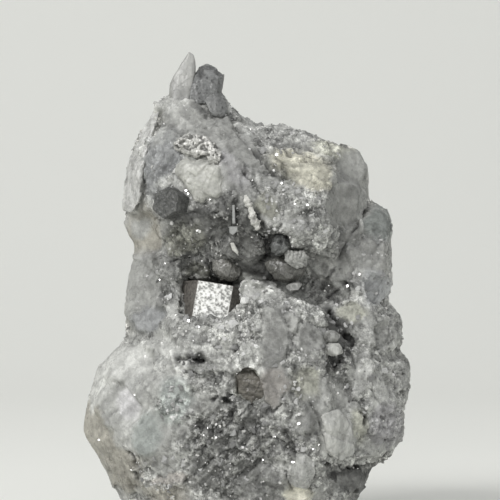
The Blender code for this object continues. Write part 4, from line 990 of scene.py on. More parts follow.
def faces_cut(points, normals, rugged):
    """Moves the front's skin onto the flat cleavage faces."""
    u, v, y = drawing(points)
    wob = 6.0 * fractal(points, 2.0 * MM, 205, 4)
    wob2 = 6.0 * fractal(points, 2.0 * MM, 206, 4)
    facing = smooth(0.0, 0.35, -normals[:, 1]) * smooth(4.0, 1.0, y)
    points = points.copy()
    for fu, fv, ru, rv, turn, nx, nz, rise, left in FACES:
        c, s = math.cos(math.radians(turn)), math.sin(math.radians(turn))
        du, dv = u + wob - fu, v + wob2 - fv
        e = ((np.abs(du * c + dv * s) / ru) ** 2.6
             + (np.abs(-du * s + dv * c) / rv) ** 2.6) ** (1 / 2.6)
        w = facing * smooth(1.14, 0.86, e)
        core = (w > 0.6) & (e < 0.75)
        if core.sum() < 10:
            continue
        centre = points[core].mean(0)
        n = np.array((nx, -math.sqrt(max(0.05, 1 - nx * nx - nz * nz)), nz))
        height = (points - centre) @ n
        away = np.clip(-height + rise * MM, -1.3 * MM, 1.3 * MM)
        move = (w * away)[:, None] * n
        points += move
        rugged = rugged * (1 - w) + left * w
    return points, rugged


def build_rock():
    step = 0.46 * MM
    axes, field = rock_field(step)
    points, quads = net(axes, field)
    points, quads = biggest_body(points, quads)
    normals = vertex_normals(points, quads)
    for _ in range(2):
        normals = neighbour_mean(normals, quads)
        normals /= np.linalg.norm(normals, axis=1, keepdims=True)
    seen = (normals[quads].mean(1)[:, 1] < -0.04) & (points[quads].mean(1)[:, 1] < 6 * MM)
    points, polygons = refine(points, quads, seen)
    # normals of the new points: the mean of the corners round them
    grown = np.zeros_like(points)
    for size in (4, 5, 6, 7, 8):
        group = np.array([p for p in polygons if len(p) == size])
        if len(group) == 0:
            continue
        a = points[group]
        face = np.cross(a[:, 2] - a[:, 0], a[:, size * 3 // 4] - a[:, size // 4])
        for i in range(size):
            np.add.at(grown, group[:, i], face)
    normals = grown / np.maximum(np.linalg.norm(grown, axis=1, keepdims=True), 1e-20)
    quads_only = np.array([p for p in polygons if len(p) == 4])
    for _ in range(3):
        normals = 0.3 * normals + 0.7 * neighbour_mean(normals, quads_only)
        normals /= np.maximum(np.linalg.norm(normals, axis=1, keepdims=True), 1e-20)

    albedo, tint, rugged, gloss = zones(points)
    lift = smooth(0.0, 1.2 * MM, points[:, 2])
    home = points.copy()
    shaped, rugged = faces_cut(points, normals, rugged)
    points = points + (shaped - points) * lift[:, None]
    u, v, y = drawing(home)
    facing = smooth(0.0, 0.4, -normals[:, 1]) * smooth(5.0, 2.0, y)
    ru = u + 2.4 * fractal(home, 0.9 * MM, 305, 3)
    rv = v + 2.4 * fractal(home, 0.9 * MM, 306, 3)

    # broken blocks, chips and crumbs
    shift = np.zeros(len(points))
    calm = smooth(-0.35, 0.30, fractal(home, 3.2 * MM, 511, 3, 0.6))
    rugged = rugged * (0.35 + 0.75 * calm)
    r1 = np.clip(rugged, 0, 1.4)
    shift += (0.35 + 0.65 * r1) * 0.62 * MM * chips(home, 5.6 * MM, 3, 0.9, 0.10, 0.8)
    shift += r1 * 2.5 * MM * 0.20 * chips(home, 2.5 * MM, 8, 0.9, 0.10, 0.7, (1.3, 1, 0.85))
    shift += r1 * 1.15 * MM * 0.26 * chips(home, 1.15 * MM, 12, 1.1, 0.10, 0.8, (1, 1, 1.2))
    away, inside3, rnd3 = cells(home, 0.62 * MM, 15, (1.2, 1.0, 0.9))
    lean = (rnd3[:, :3] - 0.5) * 2.0
    lean -= (lean * normals).sum(1, keepdims=True) * normals
    shift += r1 * 0.62 * MM * (0.28 * (lean * away).sum(1) + 0.20 * (rnd3[:, 3] - 0.5))
    shift += 0.07 * MM * r1 * value_noise(home, 0.36 * MM, 61)
    shift += 0.22 * MM * fractal(home, 3.4 * MM, 71, 3) * (1.2 - 0.6 * np.clip(r1, 0, 1.2))

    tone = np.ones(len(points))
    for su, sv, hw, hh, turn, spacing, height, share in STREAKS:
        a = math.radians(turn)
        e = np.sqrt(((ru - su) / hw) ** 2 + ((rv - sv) / hh) ** 2)
        w = facing * smooth(1.15, 0.6, e)
        across = (-(u - su) * math.sin(a) + (v - sv) * math.cos(a)) * GRID
        along = ((u - su) * math.cos(a) + (v - sv) * math.sin(a)) * GRID
        coords = np.stack([across / spacing, along / (spacing * 9.0),
                           home[:, 1] / (spacing * 4)], axis=1)
        wave = value_noise(coords, 1.0 * MM, int(su)) + 0.5 * value_noise(coords * 2.3, 1.0 * MM,
                                                                     int(sv))
        shift += w * height * MM * wave
        tone *= 1.0 + w * share * wave
    for width, depth, shade, line in LINES:
        box_u = [p[0] for p in line]
        box_v = [p[1] for p in line]
        near = (ru > min(box_u) - 8) & (ru < max(box_u) + 8) \
            & (rv > min(box_v) - 8) & (rv < max(box_v) + 8) & (facing > 0.01)
        d = near_line(ru[near], rv[near], line)
        broken = smooth(-0.45, 0.25, fractal(home[near], 1.4 * MM, 611, 2))
        w = facing[near] * smooth(width * 1.5, width * 0.35, d) * (0.25 + 0.75 * broken)
        shift[near] -= w * depth * MM
        # carved lines darker, painted shade in them; raised lines lighter, painted light on their
        # crests
        tone[near] *= 1.0 + w * (shade - 1.0)

    # meandering hair cracks and pale seams everywhere
    hair = np.abs(fractal(home, 3.6 * MM, 401, 3, 0.6))
    crack = smooth(0.045, 0.0, hair) * smooth(0.2, 0.8, r1)
    seam = smooth(0.05, 0.0, np.abs(fractal(home, 4.6 * MM, 431, 3, 0.6))) * smooth(0.1, 0.6, r1)
    shift -= 0.16 * MM * crack
    shift += 0.06 * MM * seam
    tone *= 1.0 - 0.40 * crack
    tone *= 1.0 + 0.35 * seam

    points = points + normals * (shift * lift)[:, None]
    # the foot under the right ledge draws in
    draw = np.interp(v, [462, 476, 488, 498, 530], [0.0, 0.6, 0.5, 1.2, 1.8]) * smooth(330, 372, u)
    points[:, 0] -= draw * MM
    points[:, 2] = np.maximum(points[:, 2], 0.0)

    # colour: each grain its own tone, darker at the grain borders, painted shade in the low places
    # of the relief and painted light on the high ones, a few white and a few dark grains
    _, inside2, rnd2 = cells(home, 1.7 * MM, 18, (1.3, 1.0, 0.8))
    spread = 0.35 + 0.65 * np.clip(rugged, 0, 1.3)
    shade = 1.0 + spread * (0.55 * (rnd2[:, 1] - 0.5) + 0.70 * (rnd3[:, 1] - 0.5))
    shade *= 1.0 + 0.22 * fractal(home, 1.5 * MM, 521, 3, 0.6)
    shade *= 1.0 - 0.25 * np.clip(rugged, 0, 1) * (1 - smooth(0.0, 0.14, inside3))
    # painted shade in the low places of the relief, painted light on the high places
    shade *= 1.0 + 0.9 * np.clip((shift - np.median(shift)) / MM, -0.35, 0.35) * np.clip(r1, 0, 1)
    bright = smooth(0.88, 0.93, rnd3[:, 2]) * np.clip(rugged, 0, 1)
    dark = smooth(0.86, 0.92, rnd3[:, 3]) * np.clip(rugged, 0, 1)
    value = np.clip(albedo * shade * tone, 0.02, 0.85)
    value = value * (1 - 0.8 * bright) + 0.8 * bright * np.clip(albedo * 1.9, 0.2, 0.85)
    value = value * (1 - 0.6 * dark) + 0.6 * dark * albedo * 0.35
    colours = np.clip(value[:, None] * tint, 0.0, 0.9)
    glossy = np.clip(gloss + 0.25 * (rnd3[:, 0] - 0.5), 0, 1)
    return points, polygons, colours, glossy, rugged, normals


# ---------------------------------------------------------------------------------------
# Materials
# ---------------------------------------------------------------------------------------
class Nodes:
    """Small helper to wire a node tree."""

    def __init__(self, name):
        self.mat = bpy.data.materials.new(name)
        self.mat.use_nodes = True
        self.tree = self.mat.node_tree
        self.shader = self.tree.nodes["Principled BSDF"]
        self.coords = self.tree.nodes.new("ShaderNodeTexCoord").outputs["Object"]

    def link(self, a, b):
        self.tree.links.new(a, b)

    def put(self, socket, value):
        if isinstance(value, bpy.types.NodeSocket):
            self.link(value, socket)
        else:
            socket.default_value = value

    def math(self, op, a, b=0.0, clamp=False):
        node = self.tree.nodes.new("ShaderNodeMath")
        node.operation = op
        node.use_clamp = clamp
        self.put(node.inputs[0], a)
        self.put(node.inputs[1], b)
        return node.outputs[0]

    def vector(self, op, a, b=(0, 0, 0), scale=None):
        node = self.tree.nodes.new("ShaderNodeVectorMath")
        node.operation = op
        self.put(node.inputs[0], a)
        self.put(node.inputs[1], b)
        if scale is not None:
            self.put(node.inputs["Scale"], scale)
        return node.outputs[0]

    def noise(self, size, detail=3.0, rough=0.55, vector=None, distort=0.0):
        node = self.tree.nodes.new("ShaderNodeTexNoise")
        node.inputs["Scale"].default_value = 1.0 / size
        node.inputs["Detail"].default_value = detail
        node.inputs["Roughness"].default_value = rough
        node.inputs["Distortion"].default_value = distort
        self.link(vector or self.coords, node.inputs["Vector"])
        return node.outputs["Fac"]

    def voronoi(self, size, feature="F1", vector=None, output="Color"):
        node = self.tree.nodes.new("ShaderNodeTexVoronoi")
        node.feature = feature
        node.inputs["Scale"].default_value = 1.0 / size
        self.link(vector or self.coords, node.inputs["Vector"])
        return node.outputs[output]

    def split(self, colour):
        node = self.tree.nodes.new("ShaderNodeSeparateColor")
        self.link(colour, node.inputs[0])
        return node.outputs

    def ramp(self, value, stops):
        node = self.tree.nodes.new("ShaderNodeValToRGB")
        self.link(value, node.inputs[0])
        ramp = node.color_ramp
        while len(ramp.elements) < len(stops):
            ramp.elements.new(0.5)
        for element, (pos, colour) in zip(ramp.elements, stops):
            element.position = pos
            if not hasattr(colour, "__len__"):
                colour = (colour,) * 3
            element.color = (*colour, 1.0)
        return node.outputs["Color"]

    def attribute(self, name, output="Color"):
        node = self.tree.nodes.new("ShaderNodeAttribute")
        node.attribute_name = name
        return node.outputs[output]

    def scaled(self, colour, amount):
        node = self.tree.nodes.new("ShaderNodeVectorMath")
        node.operation = "SCALE"
        self.put(node.inputs[0], colour)
        self.put(node.inputs["Scale"], amount)
        return node.outputs[0]

    def bump(self, height, distance, strength=1.0, normal=None):
        node = self.tree.nodes.new("ShaderNodeBump")
        node.inputs["Distance"].default_value = distance
        node.inputs["Strength"].default_value = strength
        self.link(height, node.inputs["Height"])
        if normal is not None:
            self.link(normal, node.inputs["Normal"])
        return node.outputs["Normal"]

    def facets(self, size, tilt, vector=None):
        """Normals that differ from grain to grain, as the cleavage faces of mica do."""
        colour = self.voronoi(size, vector=vector)
        lean = self.vector("SUBTRACT", colour, (0.5, 0.5, 0.5))
        geometry = self.tree.nodes.new("ShaderNodeNewGeometry")
        lean = self.vector("SCALE", lean, scale=tilt)
        return self.vector("NORMALIZE", self.vector("ADD", geometry.outputs["Normal"], lean))


def rock_material():
    m = Nodes("matrix_rock_skin")
    base = m.attribute("mineral")
    rugged = m.attribute("rugged", "Fac")
    gloss = m.attribute("gloss", "Fac")
    fine = m.split(m.voronoi(0.34 * MM))
    grit = m.noise(0.16 * MM, 4.0, 0.6)
    shade = m.math("MULTIPLY_ADD", m.math("SUBTRACT", fine[0], 0.5),
                   m.math("MULTIPLY", rugged, 0.52))
    shade.node.inputs[2].default_value = 1.0
    grain = m.math("MULTIPLY_ADD", m.math("SUBTRACT", grit, 0.5), 0.7)
    grain.node.inputs[2].default_value = 1.0
    colour = m.scaled(m.scaled(base, shade), grain)
    for size, gain in ((1.15 * MM, 0.60), (1.5 * MM, -0.50)):
        wave = m.math("ABSOLUTE", m.math("SUBTRACT", m.noise(size, 4.0, 0.65, distort=0.6), 0.5))
        line = m.math("SUBTRACT", 1.0, m.math("MULTIPLY", wave, 34.0), clamp=True)
        line = m.math("MULTIPLY", line, m.math("MULTIPLY", rugged, gain))
        colour = m.scaled(colour, m.math("ADD", line, 1.0))
    m.link(colour, m.shader.inputs["Base Color"])
    mirror = m.math("GREATER_THAN", m.math("ADD", fine[1], m.math("MULTIPLY", gloss, 0.22)), 0.98)
    rough = m.math("SUBTRACT", 0.78, m.math("MULTIPLY", gloss, 0.42))
    rough = m.math("MULTIPLY_ADD", m.math("SUBTRACT", grit, 0.5), 0.25)
    rough.node.inputs[2].default_value = 0.0
    level = m.math("SUBTRACT", 0.76, m.math("MULTIPLY", gloss, 0.40))
    level = m.math("ADD", level, rough)
    level = m.math("SUBTRACT", level, m.math("MULTIPLY", mirror, 0.5), clamp=True)
    level = m.math("MAXIMUM", level, 0.10)
    m.link(level, m.shader.inputs["Roughness"])
    lean = m.math("MULTIPLY_ADD", rugged, 0.42)
    lean.node.inputs[2].default_value = 0.35
    normal = m.facets(0.34 * MM, lean)
    normal = m.bump(m.noise(0.22 * MM, 4.0, 0.6), 0.05 * MM, 0.8, normal)
    m.link(normal, m.shader.inputs["Normal"])
    return m.mat


def crystal_material(name, dark, light, rough, size=0.9 * MM, streak=None, ior=1.55,
                     metallic=0.0, subsurface=0.0, tilt=0.12, bump=0.02, facet=0.5 * MM,
                     specks=0.0, pits=False):
    """Crystal skin: cloudy body colour, faint growth streaks, faces that differ a little."""
    m = Nodes(name)
    vector = m.coords
    if streak is not None:
        mapping = m.tree.nodes.new("ShaderNodeMapping")
        mapping.inputs["Rotation"].default_value = streak[0]
        mapping.inputs["Scale"].default_value = streak[1]
        m.link(m.coords, mapping.inputs["Vector"])
        vector = mapping.outputs["Vector"]
    cloud = m.noise(size, 4.0, 0.6, vector)
    veil = m.noise(size * 0.28, 3.0, 0.6, vector)
    mixed = m.math("MULTIPLY_ADD", veil, 0.4)
    mixed.node.inputs[2].default_value = 0.0
    mixed = m.math("ADD", m.math("MULTIPLY", cloud, 0.6), mixed)
    colour = m.ramp(mixed, [(0.34, dark), (0.64, light)])
    if pits:
        colour = m.scaled(colour, m.math("SUBTRACT", 1.0, m.math(
            "MULTIPLY", m.attribute("pit", "Fac"), 0.62)))
    if specks > 0.0:
        spot = m.split(m.voronoi(0.30 * MM))
        spot = m.math("LESS_THAN", spot[2], specks)
        colour = m.scaled(colour, m.math("SUBTRACT", 1.0, m.math("MULTIPLY", spot, 0.45)))
    m.link(colour, m.shader.inputs["Base Color"])
    level = m.math("MULTIPLY_ADD", m.noise(0.35 * MM, 3.0), 0.30)
    level.node.inputs[2].default_value = rough - 0.15
    m.link(m.math("MAXIMUM", level, 0.06), m.shader.inputs["Roughness"])
    m.shader.inputs["Metallic"].default_value = metallic
    m.shader.inputs["IOR"].default_value = ior
    if subsurface > 0.0:
        m.shader.inputs["Subsurface Weight"].default_value = subsurface
        m.shader.inputs["Subsurface Radius"].default_value = (1.0, 1.0, 0.95)
        m.shader.inputs["Subsurface Scale"].default_value = 0.8 * MM
    normal = m.facets(facet, tilt)
    normal = m.bump(m.noise(0.14 * MM, 4.0, 0.6, vector), bump * MM, 0.8, normal)
    m.link(normal, m.shader.inputs["Normal"])
    return m.mat


def apatite_material():
    """Etched prism faces: bright mirror flats between small dull pits; the light body colour of
    the bright face is partly a painted reflection and the dark colour of the other faces is
    painted shade.
    """
    m = Nodes("fluorapatite_skin")
    pit = m.attribute("pit", "Fac")
    side = m.attribute("side", "Fac")
    cloud = m.noise(0.8 * MM, 4.0, 0.6)
    # light body colour of the bright face, partly a painted reflection
    body = m.ramp(cloud, [(0.3, (0.62, 0.62, 0.595)), (0.7, (0.80, 0.80, 0.77))])
    grit = m.noise(0.12 * MM, 3.0, 0.6)
    # dark colour of the side faces: painted shade of the narrow gap they stand in
    dull = m.ramp(m.noise(0.4 * MM, 4.0, 0.65), [(0.35, (0.045, 0.042, 0.038)),
                                                 (0.68, (0.20, 0.185, 0.165))])
    value = m.math("SUBTRACT", 1.0, m.math("MULTIPLY", pit, 0.62))
    shade = m.math("ADD", m.math("MULTIPLY", grit, 0.3), 0.85)
    body = m.scaled(body, m.math("MULTIPLY", value, shade))
    mix = m.tree.nodes.new("ShaderNodeMix")
    mix.data_type = "RGBA"
    m.link(side, mix.inputs["Factor"])
    m.link(body, mix.inputs[6])
    m.link(dull, mix.inputs[7])
    m.link(mix.outputs[2], m.shader.inputs["Base Color"])
    rough = m.math("ADD", m.math("MULTIPLY", pit, 0.40), 0.13)
    rough = m.math("ADD", rough, m.math("MULTIPLY", side, 0.25))
    m.link(m.math("ADD", rough, m.math("MULTIPLY", grit, 0.06)), m.shader.inputs["Roughness"])
    m.shader.inputs["IOR"].default_value = 1.633
    m.link(m.bump(m.noise(0.10 * MM, 3.0, 0.6), 0.012 * MM, 0.6), m.shader.inputs["Normal"])
    return m.mat


ROCK = rock_material()
APATITE = apatite_material()
BLADE = crystal_material("blade_skin", (0.29, 0.29, 0.28), (0.46, 0.46, 0.44), 0.36,
                         size=1.3 * MM, streak=((0, 0.12, 0), (1.0, 1.0, 0.25)),
                         subsurface=0.2, tilt=0.08, pits=True)
PLATE = crystal_material("plate_skin", (0.27, 0.27, 0.26), (0.70, 0.70, 0.68), 0.30,
                         size=0.9 * MM, streak=((0, 0.42, 0), (1.0, 1.0, 0.45)),
                         subsurface=0.25, tilt=0.24, facet=0.45 * MM, pits=True)
KNOB = crystal_material("knob_skin", (0.36, 0.36, 0.335), (0.60, 0.60, 0.56), 0.42,
                        size=1.3 * MM, subsurface=0.35, tilt=0.10, bump=0.02, pits=True)
DARK = crystal_material("dark_crystal_skin", (0.045, 0.047, 0.047), (0.20, 0.205, 0.20), 0.32,
                        size=0.7 * MM, tilt=0.2, facet=0.35 * MM)
STUB = crystal_material("stub_skin", (0.10, 0.102, 0.102), (0.24, 0.244, 0.24), 0.36,
                        size=0.8 * MM, tilt=0.14, facet=0.4 * MM, specks=0.1, pits=True)
DARKER = crystal_material("side_prism_skin", (0.014, 0.015, 0.014), (0.15, 0.152, 0.146), 0.34,
                          size=0.55 * MM, tilt=0.34, facet=0.30 * MM)
SLATE = crystal_material("slate_crystal_skin", (0.13, 0.132, 0.13), (0.23, 0.233, 0.228), 0.40,
                         size=0.9 * MM, tilt=0.10, specks=0.05)
SMOKY = crystal_material("smoky_quartz_skin", (0.06, 0.059, 0.054), (0.17, 0.168, 0.155), 0.26,
                         size=0.8 * MM, tilt=0.12, bump=0.015)
DUSKY = crystal_material("dusky_quartz_skin", (0.09, 0.088, 0.08), (0.25, 0.246, 0.228), 0.28,
                         size=0.7 * MM, tilt=0.14, bump=0.015)
HAZE = crystal_material("hazy_quartz_skin", (0.17, 0.17, 0.162), (0.36, 0.36, 0.345), 0.28,
                        size=0.8 * MM, tilt=0.14, facet=0.7 * MM)
STRIPED = crystal_material("striped_quartz_skin", (0.26, 0.26, 0.25), (0.46, 0.46, 0.44), 0.32,
                           size=0.8 * MM, tilt=0.10, pits=True)
FACETED = crystal_material("wedge_skin", (0.22, 0.222, 0.213), (0.54, 0.542, 0.52), 0.26,
                           size=1.0 * MM, tilt=0.16, facet=0.9 * MM)
GREY = crystal_material("grey_crystal_skin", (0.24, 0.245, 0.24), (0.38, 0.385, 0.375), 0.42,
                        size=0.9 * MM, tilt=0.08)
SILVER = crystal_material("silvery_skin", (0.28, 0.279, 0.265), (0.70, 0.692, 0.66), 0.38,
                          size=0.55 * MM, metallic=0.35, tilt=0.35, facet=0.35 * MM,
                          pits=True)
BROWN = crystal_material("brown_quartz_skin", (0.075, 0.069, 0.059), (0.18, 0.168, 0.145), 0.32,
                         size=1.0 * MM, streak=((0, 0.1, 0), (0.22, 1.0, 1.0)), tilt=0.10,
                         pits=True)
WHITE = crystal_material("white_vein_skin", (0.46, 0.455, 0.425), (0.74, 0.73, 0.69), 0.5,
                         size=0.45 * MM, tilt=0.25, facet=0.3 * MM, pits=True)
CLEAR = crystal_material("clear_slab_skin", (0.29, 0.293, 0.28), (0.58, 0.58, 0.55), 0.24,
                         size=1.4 * MM, streak=((0, 0.3, 0), (1.0, 1.0, 0.3)), tilt=0.12,
                         facet=0.9 * MM)


# ---------------------------------------------------------------------------------------
# Crystals
# ---------------------------------------------------------------------------------------
def turned(axis_up, face_towards):
    z = Vector(axis_up).normalized()
    y = -(Vector(face_towards) - Vector(face_towards).dot(z) * z).normalized()
    x = y.cross(z)
    return np.array(Matrix((x, y, z)).transposed())


def prism_points(sides, radius, length, origin, turn, stretch=(1.0, 1.0), top=1.0):
    points = []
    for height, scale in ((0.0, 1.0), (length, top)):
        for i in range(sides):
            a = 2 * math.pi * (i + 0.5) / sides - math.pi / 2
            local = np.array((radius * scale * stretch[0] * math.cos(a),
                              radius * scale * stretch[1] * math.sin(a), height))
            points.append(origin + turn @ local)
    return points


def slab_points(outline, front=-1.0, back=1.0):
    points = []
    for item in outline:
        f, b = (item[2], item[3]) if len(item) == 4 else (front, back)
        points += [at(item[0], item[1], f), at(item[0], item[1], b)]
    return points


def grain_points(centre, radii, turn=(0.0, 0.0, 0.0), facets=26, seed=0, wobble=0.09):
    spin = np.array(Matrix.Rotation(turn[2], 3, "Z") @ Matrix.Rotation(turn[1], 3, "Y")
                    @ Matrix.Rotation(turn[0], 3, "X"))
    golden = math.pi * (3.0 - math.sqrt(5.0))
    points = []
    for i in range(facets):
        h = 1.0 - 2.0 * (i + 0.5) / facets
        ring = math.sqrt(1.0 - h * h)
        a = golden * i + 0.7 * seed
        unit = np.array((ring * math.cos(a), ring * math.sin(a), h))
        push = 1.0 + wobble * value_noise(unit[None] * 2.0 + seed * 3.7, 1.0, seed)[0]
        points.append(centre + spin @ (unit * np.array(radii) * push))
    return points


def lumps_field(axes, balls, blend=0.45 * MM):
    """Smooth union of ellipsoids: (centre, radii)."""
    X, Y, Z = axes
    total = None
    for centre, radii in balls:
        q = np.sqrt(((X - centre[0]) / radii[0])[:, None, None] ** 2
                    + ((Y - centre[1]) / radii[1])[None, :, None] ** 2
                    + ((Z - centre[2]) / radii[2])[None, None, :] ** 2)
        f = ((q - 1.0) * min(radii)).astype(np.float32)
        total = f if total is None else smin(total, f, blend)
    return total


def crystal(name, points, mat, step=0.12 * MM, soften=0, rough=0.0, size=0.8 * MM,
            node=None, detail=None, stria=None, balls=None, chip=0.0):
    """One crystal: its planes as a field, a mesh of it, then the unevenness of its faces.
    rough is the height of the grains on it, chip that of the broken flats on it and
    stria=(direction, width, depth) draws growth lines."""
    if balls is None:
        n, d = hull_planes(points)
        pts = np.array(points)
        axes = grid_axes(pts.min(0), pts.max(0), step)
        field = plane_field(axes, n, d)
    else:
        balls = [(at(u, v, y), np.array(radii) * MM) for u, v, y, radii in balls]
        low = np.min([c - r for c, r in balls], axis=0)
        high = np.max([c + r for c, r in balls], axis=0)
        axes = grid_axes(low - 0.2 * MM, high + 0.2 * MM, step)
        field = lumps_field(axes, balls)
    if soften:
        field = blur(field, soften)
    p, quads = biggest_body(*net(axes, field))
    normals = vertex_normals(p, quads)
    for _ in range(2):
        normals = neighbour_mean(normals, quads)
        normals /= np.maximum(np.linalg.norm(normals, axis=1, keepdims=True), 1e-20)
    shift = np.zeros(len(p))
    seed = 21 + sum(map(ord, name)) % 97
    if rough > 0.0:
        away, inside, rnd = cells(p, size, seed)
        lean = (rnd[:, :3] - 0.5) * 2.0
        lean -= (lean * normals).sum(1, keepdims=True) * normals
        shift += rough * ((lean * away).sum(1) * 1.2 + (rnd[:, 3] - 0.5) * 1.2)
        shift -= rough * 0.5 * (1 - smooth(0.0, 0.12, inside))
        shift += rough * 0.5 * fractal(p, size * 0.8, seed + 1, 2)
    if chip > 0.0:
        shift += chip * chips(p, size * 1.6, seed + 2, 1.0, 0.10, 0.7)
        shift += 0.4 * chip * chips(p, size * 0.7, seed + 3, 1.0, 0.10, 0.7)
    if stria is not None:
        direction, width, depth = stria
        direction = np.array(direction, float) / np.linalg.norm(direction)
        along = p @ direction
        line = value_noise(np.stack([along / width, 0 * along, 0 * along], 1), 1.0, 9)
        side = 1 - np.abs(normals @ direction) ** 2
        shift += depth * line * side
    flags = None
    if detail is not None:
        extra, flags = detail(p, normals)
        shift += extra
    p = p + normals * shift[:, None]
    obj = mesh_object(name, p, quads, [mat], flags=flags)
    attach(obj, "root")
    if node:
        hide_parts(node)
    return obj


# The rock itself
p, q, colours, glossy, rugged, rock_normals = build_rock()
rock = mesh_object("rock", p, q, [ROCK], colours, {"gloss": glossy, "rugged": rugged})
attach(rock, "root")
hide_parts("matrix_rock")
ROCK_POINTS, ROCK_NORMALS, ROCK_RUGGED = p, rock_normals, rugged
print("rock", len(p), "points", sum(len(x) - 2 for x in q), "triangles")

# Fluorapatite prism
APATITE_SIDE = 5.2 * MM
apatite_up = Vector((math.sin(math.radians(9.5)), 0.13, math.cos(math.radians(9.5))))
apatite_turn = turned(apatite_up, (-0.04, -1.0, 0.0))
apatite_axis = np.array(apatite_up.normalized())
apatite_front = -apatite_turn[:, 1]
apatite_foot = at(210.6, 313.0, -9.3) - apatite_front * (APATITE_SIDE * math.sqrt(3) / 2) \
    - apatite_axis * 1.9 * MM


def etched(p, normals):
    """Dull pits etched into the bright prism face; the other faces are dull and stepped, and are
    flagged as sides whose dark colour is painted shade.
    """
    faces = smooth(0.80, 0.95, normals @ apatite_front)
    a = value_noise(p, 0.27 * MM, 101)
    b = value_noise(p, 0.15 * MM, 102)
    patchy = smooth(0.0, 1.0, value_noise(p, 0.9 * MM, 104)) * 0.12
    pit = smooth(0.10, 0.26, 0.66 * a + 0.5 * b + patchy)
    others = smooth(0.3, 0.75, fractal(p, 0.5 * MM, 103, 2))
    mask = pit * faces
    depth = -0.06 * MM * pit * faces - 0.05 * MM * others * (1 - faces)
    return depth, {"pit": mask, "side": 1 - faces}


crystal("fluorapatite", prism_points(6, APATITE_SIDE, 6.4 * MM, apatite_foot, apatite_turn),
        APATITE, step=0.10 * MM, node="fluorapatite_crystal", detail=etched)

side_out = Vector((-0.58, -0.80, 0.10)).normalized()
crystal("side_prism", prism_points(6, 2.5 * MM, 5.7 * MM,
                                   at(165.5, 202.5, -10.9) - np.array(side_out) * 5.6 * MM,
                                   turned(side_out, (0.3, -0.3, -0.9)), (1.0, 0.92)),
        DARKER, step=0.09 * MM, rough=0.05 * MM, size=0.5 * MM,
        node="side_prism_crystal", chip=0.09 * MM)

def shaded(spots, depth=0.0, soft=0.35):
    """Darker places on a crystal: (column, row, half width, half height, strength)."""
    def paint(p, normals):
        u, v, _ = drawing(p)
        u = u + 2.0 * fractal(p, 0.8 * MM, 141, 3)
        v = v + 2.0 * fractal(p, 0.8 * MM, 142, 3)
        pit = np.zeros(len(p))
        for su, sv, hw, hh, strength in spots:
            e = np.hypot((u - su) / hw, (v - sv) / hh)
            pit = np.maximum(pit, strength * smooth(1.0 + soft, 1.0 - soft, e))
        return -depth * pit, {"pit": pit}
    return paint


crystal("crown_blade",
        slab_points([(189, 51.5, 0.2, 0.9), (193.8, 54.5, 0.1, 1.0), (195.4, 61, -0.2, 1.2),
                     (195.2, 74, -0.7, 1.8), (193.4, 84, -1.2, 2.2), (190, 94, -1.8, 2.4),
                     (188, 106, -2.4, 2.4), (173, 106, -2.2, 2.2), (169.4, 94, -1.2, 2.0),
                     (170.2, 84, -0.8, 2.0), (175, 74, -0.6, 1.7), (182, 65.5, -0.3, 1.4),
                     (185.6, 58, 0.0, 1.0)]),
        BLADE, step=0.11 * MM, soften=2, rough=0.04 * MM, size=1.6 * MM,
        node="crown_blade_crystal", stria=((1, 0, 0.25), 0.5 * MM, 0.02 * MM),
        detail=shaded([(178, 95, 12, 11, 0.46), (194, 72, 2.2, 14, 0.35),
                       (183, 76, 5, 8, 0.14), (172, 84, 3, 6, 0.18)], 0.0, 0.6),
        chip=0.05 * MM)
crystal("crown_stub",
        slab_points([(196.4, 70, -0.6, 3.2), (199, 66.2, 0.0, 3.3), (207.5, 64, 0.2, 3.4),
                     (214, 66, 0.2, 3.6), (224, 74.5, -0.4, 3.2), (223, 84, -0.8, 3.4),
                     (220.5, 92, -1.2, 3.4), (219.5, 101, -1.4, 3.2), (202, 76, -1.9, 3.6),
                     (218, 79, -1.7, 3.6), (216, 103, -2.4, 3.2), (196, 104, -3.1, 3.2),
                     (189, 99, -2.9, 3.2), (191.5, 86, -2.2, 3.2)]),
        STUB, step=0.10 * MM, rough=0.03 * MM, size=0.9 * MM,
        node="crown_stub_crystal", stria=((1, 0.2, 0.1), 0.35 * MM, 0.04 * MM),
        detail=shaded([(200, 72, 4.6, 6.6, 0.95), (208, 67.5, 7, 2.8, 0.75),
                       (220, 72, 5, 3.4, 0.8), (214, 96, 5, 3, 0.3)], 0.25 * MM),
        chip=0.08 * MM)
crystal("crown_foot",
        slab_points([(204, 95, -2.7, 0.5), (212, 92, -2.2, 1.0), (221, 92.5, -1.4, 1.0),
                     (226, 102, -1.8, 0.6), (227.4, 111, -2.8, 0.0), (222, 117, -3.7, -0.5),
                     (213, 115.5, -4.1, -1.0), (206.5, 108, -3.9, -1.0),
                     (203.4, 101, -3.3, 0.0), (214, 103, -3.7, 0.0)]),
        SLATE, step=0.10 * MM, soften=4, rough=0.05 * MM, size=1.0 * MM,
        chip=0.24 * MM, node="crown_foot_crystal")
